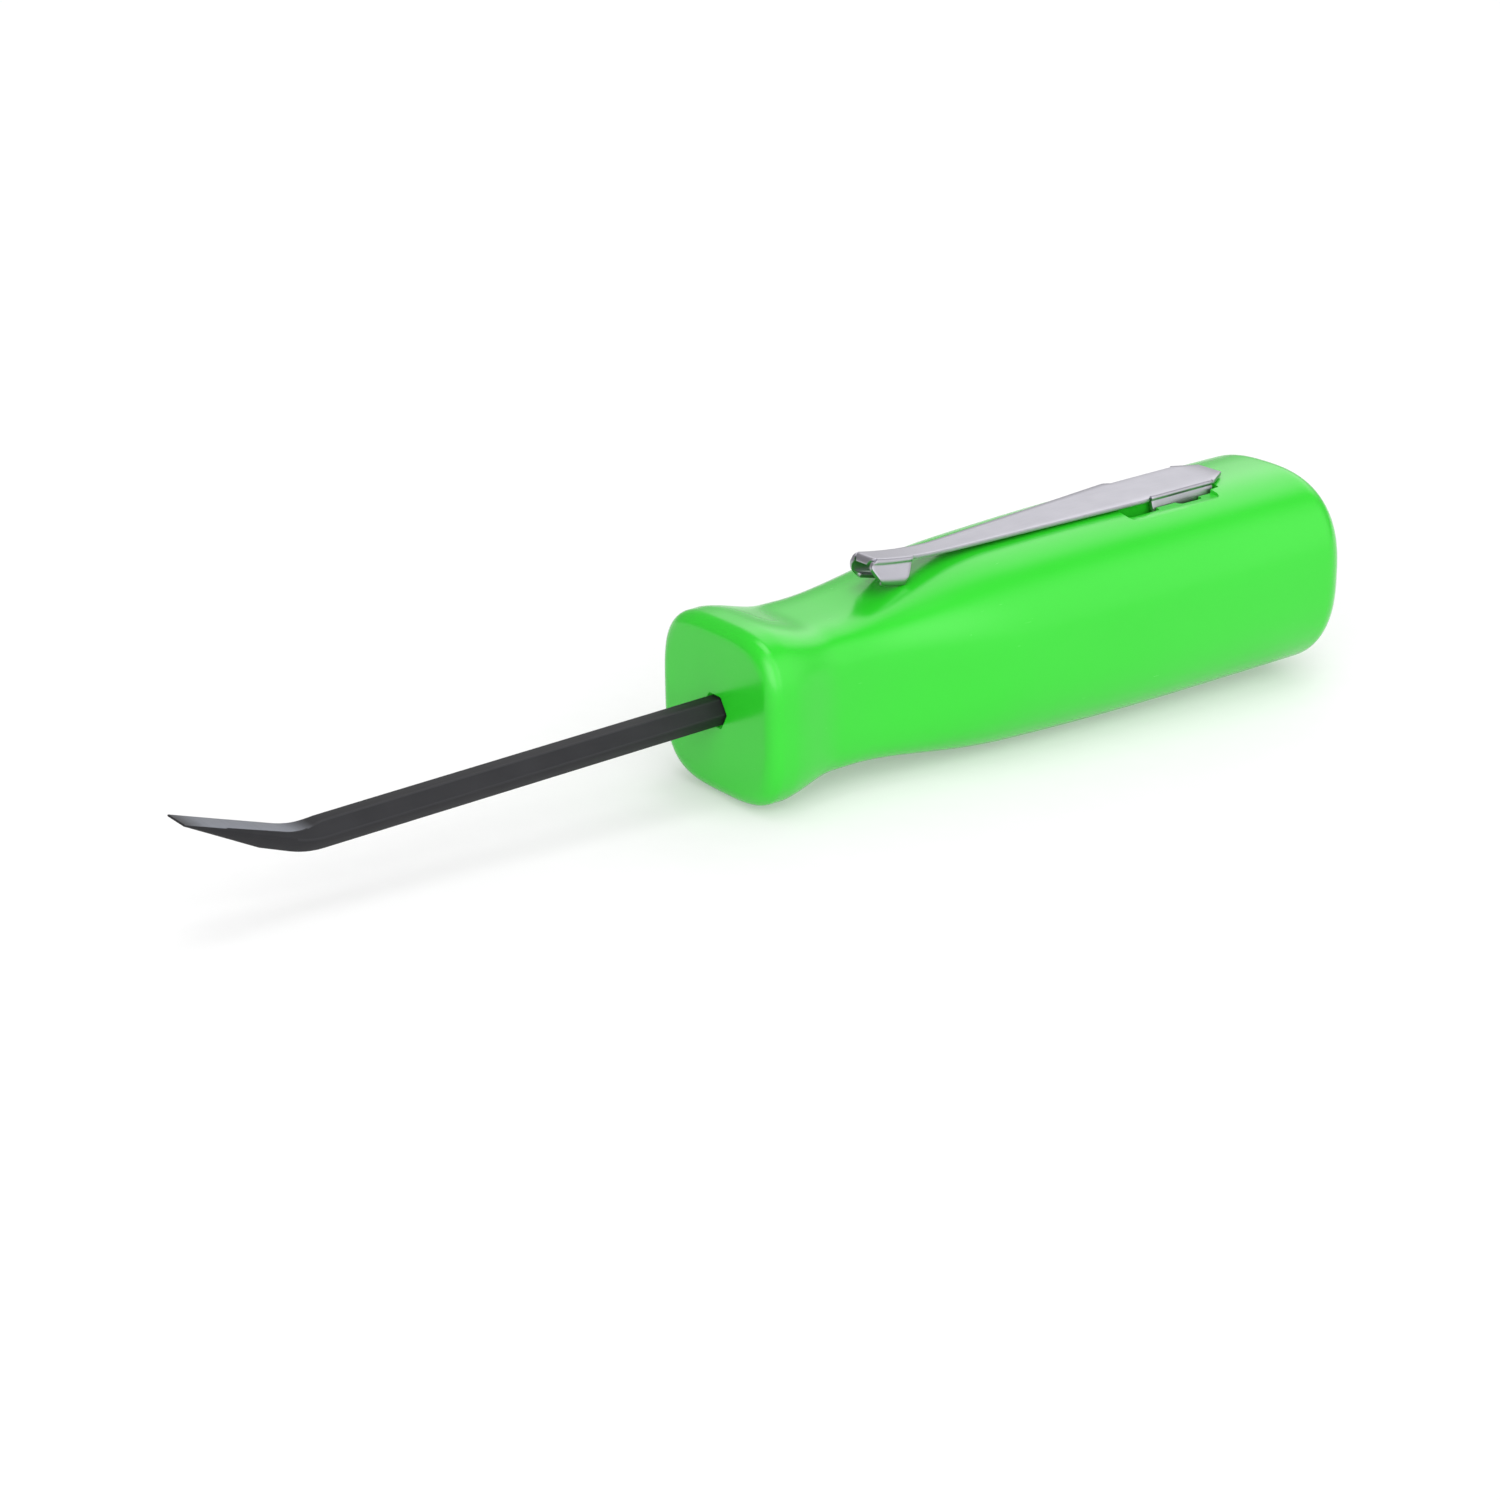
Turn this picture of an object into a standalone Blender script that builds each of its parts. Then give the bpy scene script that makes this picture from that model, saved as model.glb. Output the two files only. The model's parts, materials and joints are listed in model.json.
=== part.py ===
"""Pocket pry bar: a hexagonal bar with a bent chisel tip, moulded into a plastic
handle that carries a sprung steel pocket clip.

The tool is drawn along its own axis. X runs from the chisel to the butt, with
X = 0 at the handle's front face, Y runs across, and Z points to the clip's side.
The empty tool_rest then lays the whole tool down on the plane Z = 0, nose low,
as it lies on a bench: on the front rim and on the belly of the handle.

Run it with: blender --background --python part.py
"""

import math

import bmesh
import bpy
from mathutils import Matrix, Vector

MM = 0.001

# Handle, a moulding of rounded-square sections
HANDLE_LENGTH = 80.3 * MM
RIM_HALF_HEIGHT = 9.35 * MM
WAIST_HALF_HEIGHT = 7.7 * MM
SHOULDER_HALF_HEIGHT = 10.45 * MM
BELLY_HALF_HEIGHT = 11.0 * MM
BUTT_HALF_HEIGHT = 11.05 * MM
WIDTH_RATIO = 1.03
RIM_EDGE_RADIUS = 1.8 * MM
WAIST_FROM_FRONT = 11.0 * MM
WAIST_FLAT = 2.0 * MM
SHOULDER_FROM_FRONT = 33.0 * MM
BUTT_DOME_DEPTH = 5.6 * MM
BUTT_DOME_FULLNESS = 2.0
RIM_SECTION_EXPONENT = 3.44
BODY_SECTION_EXPONENT = 2.6
SECTION_POINTS = 56

# Bar, drawn steel of hexagonal section with its corners to the sides
BAR_ACROSS_FLATS = 2.8 * MM
BAR_EDGE_CHAMFER = 0.12 * MM
BAR_STRAIGHT_LENGTH = 45.0 * MM
BAR_DROOP_DEG = 0.95
BEND_RADIUS = 8.0 * MM
BEND_DEG = 22.4
TIP_LENGTH = 11.9 * MM
TIP_EDGE_THICKNESS = 0.2 * MM
TOP_GRIND_RUN_OUT = 2.6 * MM
TOP_GRIND_HEIGHT = 0.62 * MM
HEEL_GRIND_LENGTH = 8.7 * MM

# Tang, the part of the bar inside the handle, with two pressed wings
TANG_LENGTH = 40.0 * MM
WING_FROM_FRONT = 24.0 * MM
WING_LENGTH = 6.0 * MM
WING_RUN_OUT = 2.0 * MM
WING_HALF_SPAN = 2.6 * MM
WING_HALF_THICKNESS = 0.9 * MM
TANG_CLEARANCE = 0.25 * MM

# Pocket clip, one stamping of spring strip
STRIP_THICKNESS = 0.4 * MM
ARM_WIDTH = 7.2 * MM
CHANNEL_WIDTH = 6.5 * MM
CHANNEL_LENGTH = 9.0 * MM
CHANNEL_FROM_BUTT = 15.8 * MM
NOSE_LENGTH = 2.9 * MM
NOSE_TIP_WIDTH = 3.4 * MM
NOSE_SHOULDER_LENGTH = 0.3 * MM
NOSE_SLIT = 0.2 * MM
CLIP_LENGTH = 49.7 * MM
NECK_FROM_TIP = 6.4 * MM
NECK_PLAIN_LENGTH = 3.4 * MM
NECK_WIDTH = 2.9 * MM
ARM_PLAIN_LENGTH = 1.8 * MM
HEAD_WIDTH = 3.4 * MM
HEAD_RISE = 1.3 * MM
HEAD_RISE_LENGTH = 11.4 * MM
LIP_LENGTH = 0.8 * MM
LIP_TIP_WIDTH = 2.0 * MM
LIP_DROP = 0.7 * MM
EAR_ROOT_LENGTH = 4.9 * MM
EAR_TIP_LENGTH = 3.0 * MM
EAR_TIP_FORWARD = 0.75 * MM
EAR_SHORTEST_LEG = 0.8 * MM
EAR_LEAN_DEG = 28.0
EAR_CURL_RADIUS = 0.8 * MM
EAR_CURL_DEG = 110.0
FOLD_RADIUS = 0.75 * MM
FLANGE_DEPTH = 1.45 * MM
FOOT_DEPTH = 3.1 * MM
FOOT_WIDTH = 1.4 * MM
SEAT_CLEARANCE = 0.2 * MM

# Slots in the handle's top that the clip's flanges plug into, and the wider wells
# that the flanges enter before the clip slides back into its slots
SLOT_SIDE_CLEARANCE = 0.35 * MM
SLOT_END_CLEARANCE = 0.7 * MM
SLOT_FLOOR_CLEARANCE = 0.5 * MM
WELL_LEAD = 4.6 * MM
WELL_WIDTH = 2.9 * MM
WELL_DEPTH = 2.6 * MM
WELL_REAR_WALL = 2.2 * MM
WELL_CORNER_RADIUS = 0.6 * MM
SLOT_CORNER_RADIUS = 0.3 * MM

COLOURS = {
    "handle": ((0.045, 0.72, 0.06, 1.0), 0.22, 0.0),
    "pry_blade": ((0.03, 0.03, 0.033, 1.0), 0.45, 0.6),
    "pocket_clip": ((0.58, 0.57, 0.62, 1.0), 0.3, 1.0),
}


def clear_scene():
    """Remove whatever the open file holds."""
    for item in list(bpy.data.objects):
        bpy.data.objects.remove(item, do_unlink=True)


def smooth_curve(stations):
    """A curve through the stations that never overshoots them."""
    xs = [x for x, _ in stations]
    ys = [y for _, y in stations]
    rises = [(ys[k + 1] - ys[k]) / (xs[k + 1] - xs[k]) for k in range(len(xs) - 1)]
    slopes = [0.0] * len(xs)
    for k in range(1, len(xs) - 1):
        before, after = rises[k - 1], rises[k]
        if before * after > 0.0:
            slopes[k] = 2.0 * before * after / (before + after)

    def value(x):
        if x <= xs[0]:
            return ys[0]
        if x >= xs[-1]:
            return ys[-1]
        k = max(i for i in range(len(xs) - 1) if xs[i] <= x)
        step = xs[k + 1] - xs[k]
        t = (x - xs[k]) / step
        start = (1 + 2 * t) * (1 - t) ** 2 * ys[k] + t * t * (3 - 2 * t) * ys[k + 1]
        lean = t * (1 - t) ** 2 * slopes[k] - t * t * (1 - t) * slopes[k + 1]
        return start + lean * step

    return value


def handle_profile():
    """Half height of the handle along its length, before the ends are rounded."""
    belly_from_front = (SHOULDER_FROM_FRONT + HANDLE_LENGTH - BUTT_DOME_DEPTH) / 2
    return smooth_curve([
        (0.0, RIM_HALF_HEIGHT),
        (RIM_EDGE_RADIUS, RIM_HALF_HEIGHT),
        (WAIST_FROM_FRONT - WAIST_FLAT / 2, WAIST_HALF_HEIGHT),
        (WAIST_FROM_FRONT + WAIST_FLAT / 2, WAIST_HALF_HEIGHT),
        (SHOULDER_FROM_FRONT, SHOULDER_HALF_HEIGHT),
        (belly_from_front, BELLY_HALF_HEIGHT),
        (HANDLE_LENGTH - BUTT_DOME_DEPTH, BUTT_HALF_HEIGHT),
        (HANDLE_LENGTH, BUTT_HALF_HEIGHT),
    ])


PROFILE = handle_profile()


def handle_half_height(x):
    """Half height at x, with the rim's rounding and the butt's dome."""
    height = PROFILE(x)
    dome_start = HANDLE_LENGTH - BUTT_DOME_DEPTH
    if x < RIM_EDGE_RADIUS:
        run = RIM_EDGE_RADIUS - x
        height -= RIM_EDGE_RADIUS - math.sqrt(RIM_EDGE_RADIUS ** 2 - run ** 2)
    if x > dome_start:
        q = (x - dome_start) / BUTT_DOME_DEPTH
        height *= max(0.0, 1 - q ** BUTT_DOME_FULLNESS) ** (1 / BUTT_DOME_FULLNESS)
    return height


def handle_squareness(x):
    """Exponent of the section: squarer at the rim than along the body."""
    t = min(1.0, x / SHOULDER_FROM_FRONT)
    return RIM_SECTION_EXPONENT + (BODY_SECTION_EXPONENT - RIM_SECTION_EXPONENT) * t


def handle_ring(x):
    """One rounded-square section, with a facet and not a corner at each side."""
    height = handle_half_height(x)
    width = PROFILE(x) * WIDTH_RATIO - (PROFILE(x) - height)
    power = handle_squareness(x)
    ring = []
    for k in range(SECTION_POINTS):
        angle = 2 * math.pi * (k + 0.5) / SECTION_POINTS
        c, s = math.cos(angle), math.sin(angle)
        reach = (abs(c / width) ** power + abs(s / height) ** power) ** (-1 / power)
        ring.append(Vector((x, reach * c, reach * s)))
    return ring


def handle_stations():
    """Where the handle's sections lie, closer together where it curves."""
    dome_start = HANDLE_LENGTH - BUTT_DOME_DEPTH
    rim = [RIM_EDGE_RADIUS * (1 - math.cos(math.radians(a))) for a in (0, 22.5, 45, 67.5, 90)]
    flare = spread(RIM_EDGE_RADIUS, WAIST_FROM_FRONT, 7)
    swell = spread(WAIST_FROM_FRONT, SHOULDER_FROM_FRONT, 12)
    body = spread(SHOULDER_FROM_FRONT, dome_start, 9)
    dome = [dome_start + BUTT_DOME_DEPTH * math.sin(math.radians(a)) for a in range(12, 85, 12)]
    return rim + flare + swell + body + dome


def spread(start, end, count):
    """Even steps from start to end, leaving out the start."""
    return [start + (end - start) * k / count for k in range(1, count + 1)]


def loft(bm, rings):
    """Skin a row of matching rings and close both ends."""
    rows = [[bm.verts.new(point) for point in ring] for ring in rings]
    for front, back in zip(rows, rows[1:]):
        for k in range(len(front)):
            n = (k + 1) % len(front)
            bm.faces.new((front[k], front[n], back[n], back[k]))
    bm.faces.new(reversed(rows[0]))
    bm.faces.new(rows[-1])
    bmesh.ops.recalc_face_normals(bm, faces=bm.faces[:])


def new_object(name, bm, sharp_deg=35):
    """Turn a bmesh into a named, smooth-shaded object."""
    mesh = bpy.data.meshes.new(name)
    bm.to_mesh(mesh)
    bm.free()
    mesh.shade_smooth()
    mesh.set_sharp_from_angle(angle=math.radians(sharp_deg))
    item = bpy.data.objects.new(name, mesh)
    bpy.context.scene.collection.objects.link(item)
    return item


def give_material(item):
    """Principled finish with the piece's own colour, roughness and metallic value."""
    colour, roughness, metallic = COLOURS[item.name]
    finish = bpy.data.materials.new(item.name)
    finish.use_nodes = True
    shader = finish.node_tree.nodes["Principled BSDF"]
    shader.inputs["Base Color"].default_value = colour
    shader.inputs["Roughness"].default_value = roughness
    shader.inputs["Metallic"].default_value = metallic
    item.data.materials.append(finish)


def new_empty(name, parent=None, location=(0, 0, 0)):
    """A plain-axes empty that carries other objects."""
    empty = bpy.data.objects.new(name, None)
    empty.empty_display_size = 10 * MM
    empty.parent = parent
    empty.location = location
    bpy.context.scene.collection.objects.link(empty)
    return empty


def cut(item, cutter):
    """Cut one object with another, which stays as a hidden guide."""
    cutter.hide_render = True
    cutter.display_type = "WIRE"
    cutter.parent = item.parent
    boolean = item.modifiers.new(cutter.name, "BOOLEAN")
    boolean.operation = "DIFFERENCE"
    boolean.solver = "EXACT"
    boolean.object = cutter


# Bar sections

BAR_CORNER = BAR_ACROSS_FLATS / math.sqrt(3)


def bar_section(up, down, half_width, chamfer):
    """Hexagon with a flat top and corners at the sides, its edges broken.

    up and down are the heights of the top and bottom flats above and below the
    corners. Ground lower, a flat gets wider between the same slanting sides.
    """
    corners = []
    for height, side in ((up, 1), (-down, -1)):
        lean = half_width / 2 * abs(height) / (BAR_ACROSS_FLATS / 2)
        flat = max(half_width - lean, half_width * 0.35)
        corners += [Vector((side * flat, height)), Vector((-side * flat, height))]
        corners.append(Vector((-side * half_width, 0.0)))
    points = []
    for k, corner in enumerate(corners):
        for other in (corners[k - 1], corners[(k + 1) % 6]):
            side = other - corner
            points.append(corner + side.normalized() * min(chamfer, side.length * 0.3))
    return points


def bar_stations():
    """Centre, direction and section of the bar from the tang's end to the chisel edge.

    Each entry is (point in the XZ plane, turn in degrees, up, down, half width).
    """
    flat, corner = BAR_ACROSS_FLATS / 2, BAR_CORNER
    wing_start = WING_FROM_FRONT + WING_LENGTH
    entries = [
        (TANG_LENGTH, flat, corner),
        (wing_start + WING_RUN_OUT, flat, corner),
        (wing_start, WING_HALF_THICKNESS, WING_HALF_SPAN),
        (WING_FROM_FRONT, WING_HALF_THICKNESS, WING_HALF_SPAN),
        (WING_FROM_FRONT - WING_RUN_OUT, flat, corner),
        (0.0, flat, corner),
    ]
    stations = [(Vector((x, 0.0)), 0.0, high, high, wide) for x, high, wide in entries]
    bend_start = Vector((-BAR_STRAIGHT_LENGTH, 0.0))
    steps = 6
    for k in range(steps + 1):
        turn = BEND_DEG * k / steps
        reach = Vector((-math.sin(math.radians(turn)), 1 - math.cos(math.radians(turn))))
        stations.append((bend_start + reach * BEND_RADIUS, turn, flat, flat, corner))
    return stations + tip_stations(stations[-1][0])


def tip_stations(bend_end):
    """The chisel: ground deep on top from the bend on, and below from the heel on."""
    flat, corner = BAR_ACROSS_FLATS / 2, BAR_CORNER
    edge = TIP_EDGE_THICKNESS / 2
    along = Vector((-math.cos(math.radians(BEND_DEG)), math.sin(math.radians(BEND_DEG))))
    stations = []
    run_out = spread(0.0, TOP_GRIND_RUN_OUT, 4)
    for distance in sorted(run_out + [TIP_LENGTH - HEEL_GRIND_LENGTH, TIP_LENGTH]):
        slope = (TOP_GRIND_HEIGHT - edge) / (TIP_LENGTH - TOP_GRIND_RUN_OUT)
        up = TOP_GRIND_HEIGHT - slope * (distance - TOP_GRIND_RUN_OUT)
        if distance < TOP_GRIND_RUN_OUT:
            t = 1 - distance / TOP_GRIND_RUN_OUT
            up += (flat - TOP_GRIND_HEIGHT - slope * TOP_GRIND_RUN_OUT) * t * t
        below = min(1.0, (TIP_LENGTH - distance) / HEEL_GRIND_LENGTH)
        down = edge + (flat - edge) * below
        stations.append((bend_end + along * distance, BEND_DEG, up, down, corner))
    return stations


def bar_rings(stations, grow=0.0):
    """Sections of the bar in space, each made larger all round by grow."""
    rings = []
    for centre, turn, up, down, wide in stations:
        swing = math.radians(turn)
        upright = Vector((math.sin(swing), 0.0, math.cos(swing)))
        middle = Vector((centre.x, 0.0, centre.y))
        section = bar_section(up + grow, down + grow, wide + grow * 1.155, BAR_EDGE_CHAMFER)
        rings.append([middle + Vector((0, p.x, 0)) + upright * p.y for p in section])
    return rings


def bar_droop():
    """The bar leaves the handle a degree or so nose down."""
    return Matrix.Rotation(-math.radians(BAR_DROOP_DEG), 4, "Y")


def make_blade(rest):
    """The whole bar: tang with wings, hexagonal shank, bend and ground chisel."""
    bm = bmesh.new()
    loft(bm, bar_rings(bar_stations()))
    blade = new_object("pry_blade", bm, sharp_deg=20)
    blade.parent = rest
    blade.matrix_local = bar_droop()
    give_material(blade)
    return blade


def make_bore_cutter():
    """The cavity that the plastic leaves round the tang."""
    stations = [entry for entry in bar_stations() if entry[0].x >= 0.0]
    deep, mouth = stations[0], stations[-1]
    end = (deep[0] + Vector((TANG_CLEARANCE, 0.0)),) + deep[1:]
    start = (Vector((-RIM_EDGE_RADIUS, 0.0)),) + mouth[1:]
    bm = bmesh.new()
    loft(bm, bar_rings([end] + stations[1:-1] + [start], TANG_CLEARANCE))
    cutter = new_object("tang_bore_cutter", bm)
    cutter.matrix_local = bar_droop()
    return cutter


# Clip places, all worked out from the handle that it sits on

CHANNEL_END = HANDLE_LENGTH - CHANNEL_FROM_BUTT
CHANNEL_START = CHANNEL_END - CHANNEL_LENGTH
CLIP_REAR = CHANNEL_END + NOSE_LENGTH
CLIP_FRONT = CLIP_REAR - CLIP_LENGTH
NECK_X = CLIP_FRONT + NECK_FROM_TIP
ARM_START = CHANNEL_START - FOLD_RADIUS
TAPER_START = ARM_START - ARM_PLAIN_LENGTH
TAPER_END = NECK_X + NECK_PLAIN_LENGTH


def highest_top(start, end):
    """Highest point of the handle's top between two places."""
    return max(handle_half_height(start + (end - start) * k / 40) for k in range(41))


STRIP_UNDERSIDE = highest_top(NECK_X, CLIP_REAR) + SEAT_CLEARANCE
STRIP_TOP = STRIP_UNDERSIDE + STRIP_THICKNESS
FLEX_AXIS = Vector((CHANNEL_END, 0.0, STRIP_UNDERSIDE + STRIP_THICKNESS / 2))


def slot_inner_face():
    """Distance from the middle to the inner face of a slot, just clear of the flange."""
    return CHANNEL_WIDTH / 2 - STRIP_THICKNESS - SLOT_SIDE_CLEARANCE


def slot_bounds():
    """Inner and outer faces, ends and floor of the narrow slot that holds a flange."""
    outer = CHANNEL_WIDTH / 2 + SLOT_SIDE_CLEARANCE
    start = CHANNEL_START - SLOT_END_CLEARANCE
    end = CHANNEL_END + SLOT_END_CLEARANCE
    floor = STRIP_TOP - FOOT_DEPTH - SLOT_FLOOR_CLEARANCE
    return slot_inner_face(), outer, start, end, floor


def well_bounds():
    """Inner and outer faces, ends and floor of the wide well in front of the slot."""
    outer = slot_inner_face() + WELL_WIDTH
    start = CHANNEL_START - WELL_LEAD
    end = CHANNEL_END - WELL_REAR_WALL
    floor = STRIP_UNDERSIDE - WELL_DEPTH
    return slot_inner_face(), outer, start, end, floor


def make_pocket_cutter(name, bounds, radius):
    """Two pockets with round corners, one on each side of the post that the channel grips."""
    inner, outer, start, end, floor = bounds
    roof = STRIP_TOP + SEAT_CLEARANCE
    size = Vector((end - start, outer - inner, roof - floor))
    bm = bmesh.new()
    for side in (-1, 1):
        middle = Vector(((start + end) / 2, side * (inner + outer) / 2, (roof + floor) / 2))
        place = Matrix.Translation(middle) @ Matrix.Diagonal((*size, 1.0))
        bmesh.ops.create_cube(bm, size=1.0, matrix=place)
    upright = [e for e in bm.edges if abs((e.verts[0].co - e.verts[1].co).z) > size.z * 0.9]
    bmesh.ops.bevel(bm, geom=upright, offset=radius, offset_type="OFFSET",
                    segments=3, profile=0.5, affect="EDGES")
    return new_object(name, bm)


def make_handle(rest):
    """Loft the handle through its sections, then cut the bore, the slots and the wells."""
    bm = bmesh.new()
    loft(bm, [handle_ring(x) for x in handle_stations()])
    handle = new_object("handle", bm, sharp_deg=40)
    handle.parent = rest
    give_material(handle)
    cut(handle, make_bore_cutter())
    cut(handle, make_pocket_cutter("clip_slot_cutter", slot_bounds(), SLOT_CORNER_RADIUS))
    cut(handle, make_pocket_cutter("clip_well_cutter", well_bounds(), WELL_CORNER_RADIUS))
    return handle


def clip_half_width(x):
    """Half width of the strip's flat at x, from the nose at the rear to the head."""
    if x > CHANNEL_END:
        run = x - CHANNEL_END - NOSE_SHOULDER_LENGTH
        t = max(0.0, run / (NOSE_LENGTH - NOSE_SHOULDER_LENGTH))
        return CHANNEL_WIDTH / 2 + (NOSE_TIP_WIDTH - CHANNEL_WIDTH) / 2 * t
    if x > CHANNEL_START - FOLD_RADIUS / 2:
        return CHANNEL_WIDTH / 2 - FOLD_RADIUS
    if x > TAPER_START:
        return ARM_WIDTH / 2
    if x >= NECK_X:
        t = max(0.0, (x - TAPER_END) / (TAPER_START - TAPER_END))
        return NECK_WIDTH / 2 + (ARM_WIDTH - NECK_WIDTH) / 2 * t
    flat = HEAD_WIDTH / 2 - FOLD_RADIUS
    t = max(0.0, 1 - (x - CLIP_FRONT) / LIP_LENGTH)
    return flat + (LIP_TIP_WIDTH / 2 - flat) * t ** 2


def strip_stations():
    """Places along the strip, from the nose at the rear to the head at the front."""
    nose = [CLIP_REAR, CHANNEL_END + NOSE_SHOULDER_LENGTH, CHANNEL_END + NOSE_SLIT]
    channel = [CHANNEL_END - x for x in channel_steps()]
    arm = [ARM_START]
    taper = [TAPER_START] + spread(TAPER_START, TAPER_END, 5) + spread(TAPER_END, NECK_X, 3)
    ear_rear = CLIP_FRONT + LIP_LENGTH + EAR_ROOT_LENGTH
    head = [ear_rear - EAR_ROOT_LENGTH * k / EAR_STEPS for k in range(EAR_STEPS + 1)]
    lip = [CLIP_FRONT + LIP_LENGTH * share for share in (0.6, 0.25, 0.0)]
    return nose, channel, arm, taper, head, lip


EAR_STEPS = 6


def channel_steps():
    """Steps along the channel from its rear end: a foot, the plain flange, a foot."""
    return [0.0, FOOT_WIDTH / 2, FOOT_WIDTH, CHANNEL_LENGTH / 2, CHANNEL_LENGTH - FOOT_WIDTH,
            CHANNEL_LENGTH - FOOT_WIDTH / 2, CHANNEL_LENGTH]


def handle_top(x, y):
    """Height of the handle's surface at x, at y to the side of its middle."""
    height = handle_half_height(x)
    width = PROFILE(x) * WIDTH_RATIO
    power = handle_squareness(x)
    return height * (1 - (abs(y) / width) ** power) ** (1 / power)


def crown_slope():
    """Fall of the arm per length, where it lies along the crown of the belly."""
    places = spread(NECK_X, CHANNEL_START, 60)[:-1]
    return min((STRIP_UNDERSIDE - SEAT_CLEARANCE - handle_half_height(x)) / (CHANNEL_START - x)
               for x in places)


# The ears bear on the handle at their rear, just inside the curl

EAR_REAR = CLIP_FRONT + LIP_LENGTH + EAR_ROOT_LENGTH / 2 - EAR_TIP_FORWARD + EAR_TIP_LENGTH / 2
EAR_SEAT = handle_top(EAR_REAR, HEAD_WIDTH / 2 - EAR_CURL_RADIUS) + SEAT_CLEARANCE
EAR_LEAN = math.radians(EAR_LEAN_DEG)
EAR_ROUNDS = (FOLD_RADIUS * (1 - math.sin(EAR_LEAN))
              + EAR_CURL_RADIUS * (1 + math.sin(EAR_LEAN)))


def head_rise(x):
    """How far the spring curve of the neck and head lifts the strip off the arm's line."""
    t = max(0.0, 1 - (x - CLIP_FRONT) / HEAD_RISE_LENGTH)
    return HEAD_RISE * t ** 2


def ear_slope():
    """Largest fall of the arm that leaves the ears the length of their legs."""
    shortest = EAR_ROUNDS + EAR_SHORTEST_LEG * math.cos(EAR_LEAN)
    room = STRIP_TOP + head_rise(EAR_REAR) - EAR_SEAT - shortest
    return room / (CHANNEL_START - EAR_REAR)


ARM_SLOPE = min(crown_slope(), ear_slope())


def strip_height(x):
    """Top face of the strip: level, then falling along the arm and curving up at the head."""
    if x >= CHANNEL_START:
        return STRIP_TOP
    arm = STRIP_TOP - ARM_SLOPE * (CHANNEL_START - x)
    t = max(0.0, 1 - (x - CLIP_FRONT) / LIP_LENGTH)
    return arm + head_rise(x) - LIP_DROP * t ** 2


def walk(segments):
    """Points of a bent strip's edge as (outwards, down), from turns and straight runs.

    A segment is (radius, degrees, steps), where the radius of a straight run is 0
    and its length stands in the place of the degrees.
    """
    out, down, heading = 0.0, 0.0, 0.0
    points = []
    for radius, amount, steps in segments:
        for _ in range(steps):
            if radius == 0.0:
                out += math.cos(heading) * amount / steps
                down += math.sin(heading) * amount / steps
            else:
                turned = heading + math.radians(amount) / steps
                out += radius * (math.sin(turned) - math.sin(heading))
                down += radius * (math.cos(heading) - math.cos(turned))
                heading = turned
            points.append((out, down))
    return points


def flange_path():
    """The channel's flange: a fold and a short upright lip."""
    return walk([(FOLD_RADIUS, 90.0, 3), (0.0, FLANGE_DEPTH - FOLD_RADIUS, 1)])


def ear_path():
    """The ear: a fold, a leg that leans outwards and a curl under it."""
    leg = (strip_height(EAR_REAR) - EAR_SEAT - EAR_ROUNDS) / math.cos(EAR_LEAN)
    return walk([(FOLD_RADIUS, 90.0 - EAR_LEAN_DEG, 3), (0.0, leg, 2),
                 (EAR_CURL_RADIUS, EAR_CURL_DEG, 5)])


def make_clip(rest):
    """Fold the clip from its blank as a bare sheet, then give the sheet its thickness."""
    bm = bmesh.new()
    nose, channel, arm, taper, head, lip = strip_stations()
    stations = nose + channel + arm + taper + head + lip
    rows = []
    for x in stations:
        half = clip_half_width(x)
        top = strip_height(x)
        rows.append([bm.verts.new((x, half * t, top)) for t in (-1.0, -0.5, 0.0, 0.5, 1.0)])
    for rear, front in zip(rows, rows[1:]):
        for k in range(4):
            bm.faces.new((rear[k], rear[k + 1], front[k + 1], front[k]))
    first = len(nose)
    for side, column in ((-1, 0), (1, 4)):
        roots = [rows[first + k][column] for k in range(len(channel))]
        add_flange(bm, roots, side)
        first_ear = len(stations) - len(lip) - len(head)
        roots = [rows[first_ear + k][column] for k in range(len(head))]
        add_ear(bm, roots, side)
    bmesh.ops.recalc_face_normals(bm, faces=bm.faces[:])
    if sum(face.normal.z for face in bm.faces) < 0:
        bmesh.ops.reverse_faces(bm, faces=bm.faces[:])
    bmesh.ops.translate(bm, verts=bm.verts[:], vec=-FLEX_AXIS)
    clip = new_object("pocket_clip", bm, sharp_deg=35)
    axis = new_empty("clip_flex_axis", rest, FLEX_AXIS)
    clip.parent = axis
    give_material(clip)
    sheet = clip.modifiers.new("strip thickness", "SOLIDIFY")
    sheet.thickness = STRIP_THICKNESS
    sheet.offset = -1.0
    sheet.use_even_offset = True
    return clip


def add_flange(bm, roots, side):
    """Side flange of the channel: a low lip with a foot at each end."""
    steps = channel_steps()
    path = flange_path()
    rows = [roots]
    for out, down in path:
        row = []
        for root in roots:
            row.append(bm.verts.new((root.co.x, root.co.y + side * out, root.co.z - down)))
        rows.append(row)
    for upper, lower in zip(rows, rows[1:]):
        for k in range(len(roots) - 1):
            bm.faces.new((upper[k], upper[k + 1], lower[k + 1], lower[k]))
    lip = rows[-1]
    foot_drop = Vector((0.0, 0.0, FLANGE_DEPTH - FOOT_DEPTH))
    for start in (0, len(steps) - 3):
        toes = [bm.verts.new(lip[start + k].co + foot_drop) for k in range(3)]
        for k in range(2):
            bm.faces.new((lip[start + k], lip[start + k + 1], toes[k + 1], toes[k]))


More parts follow.
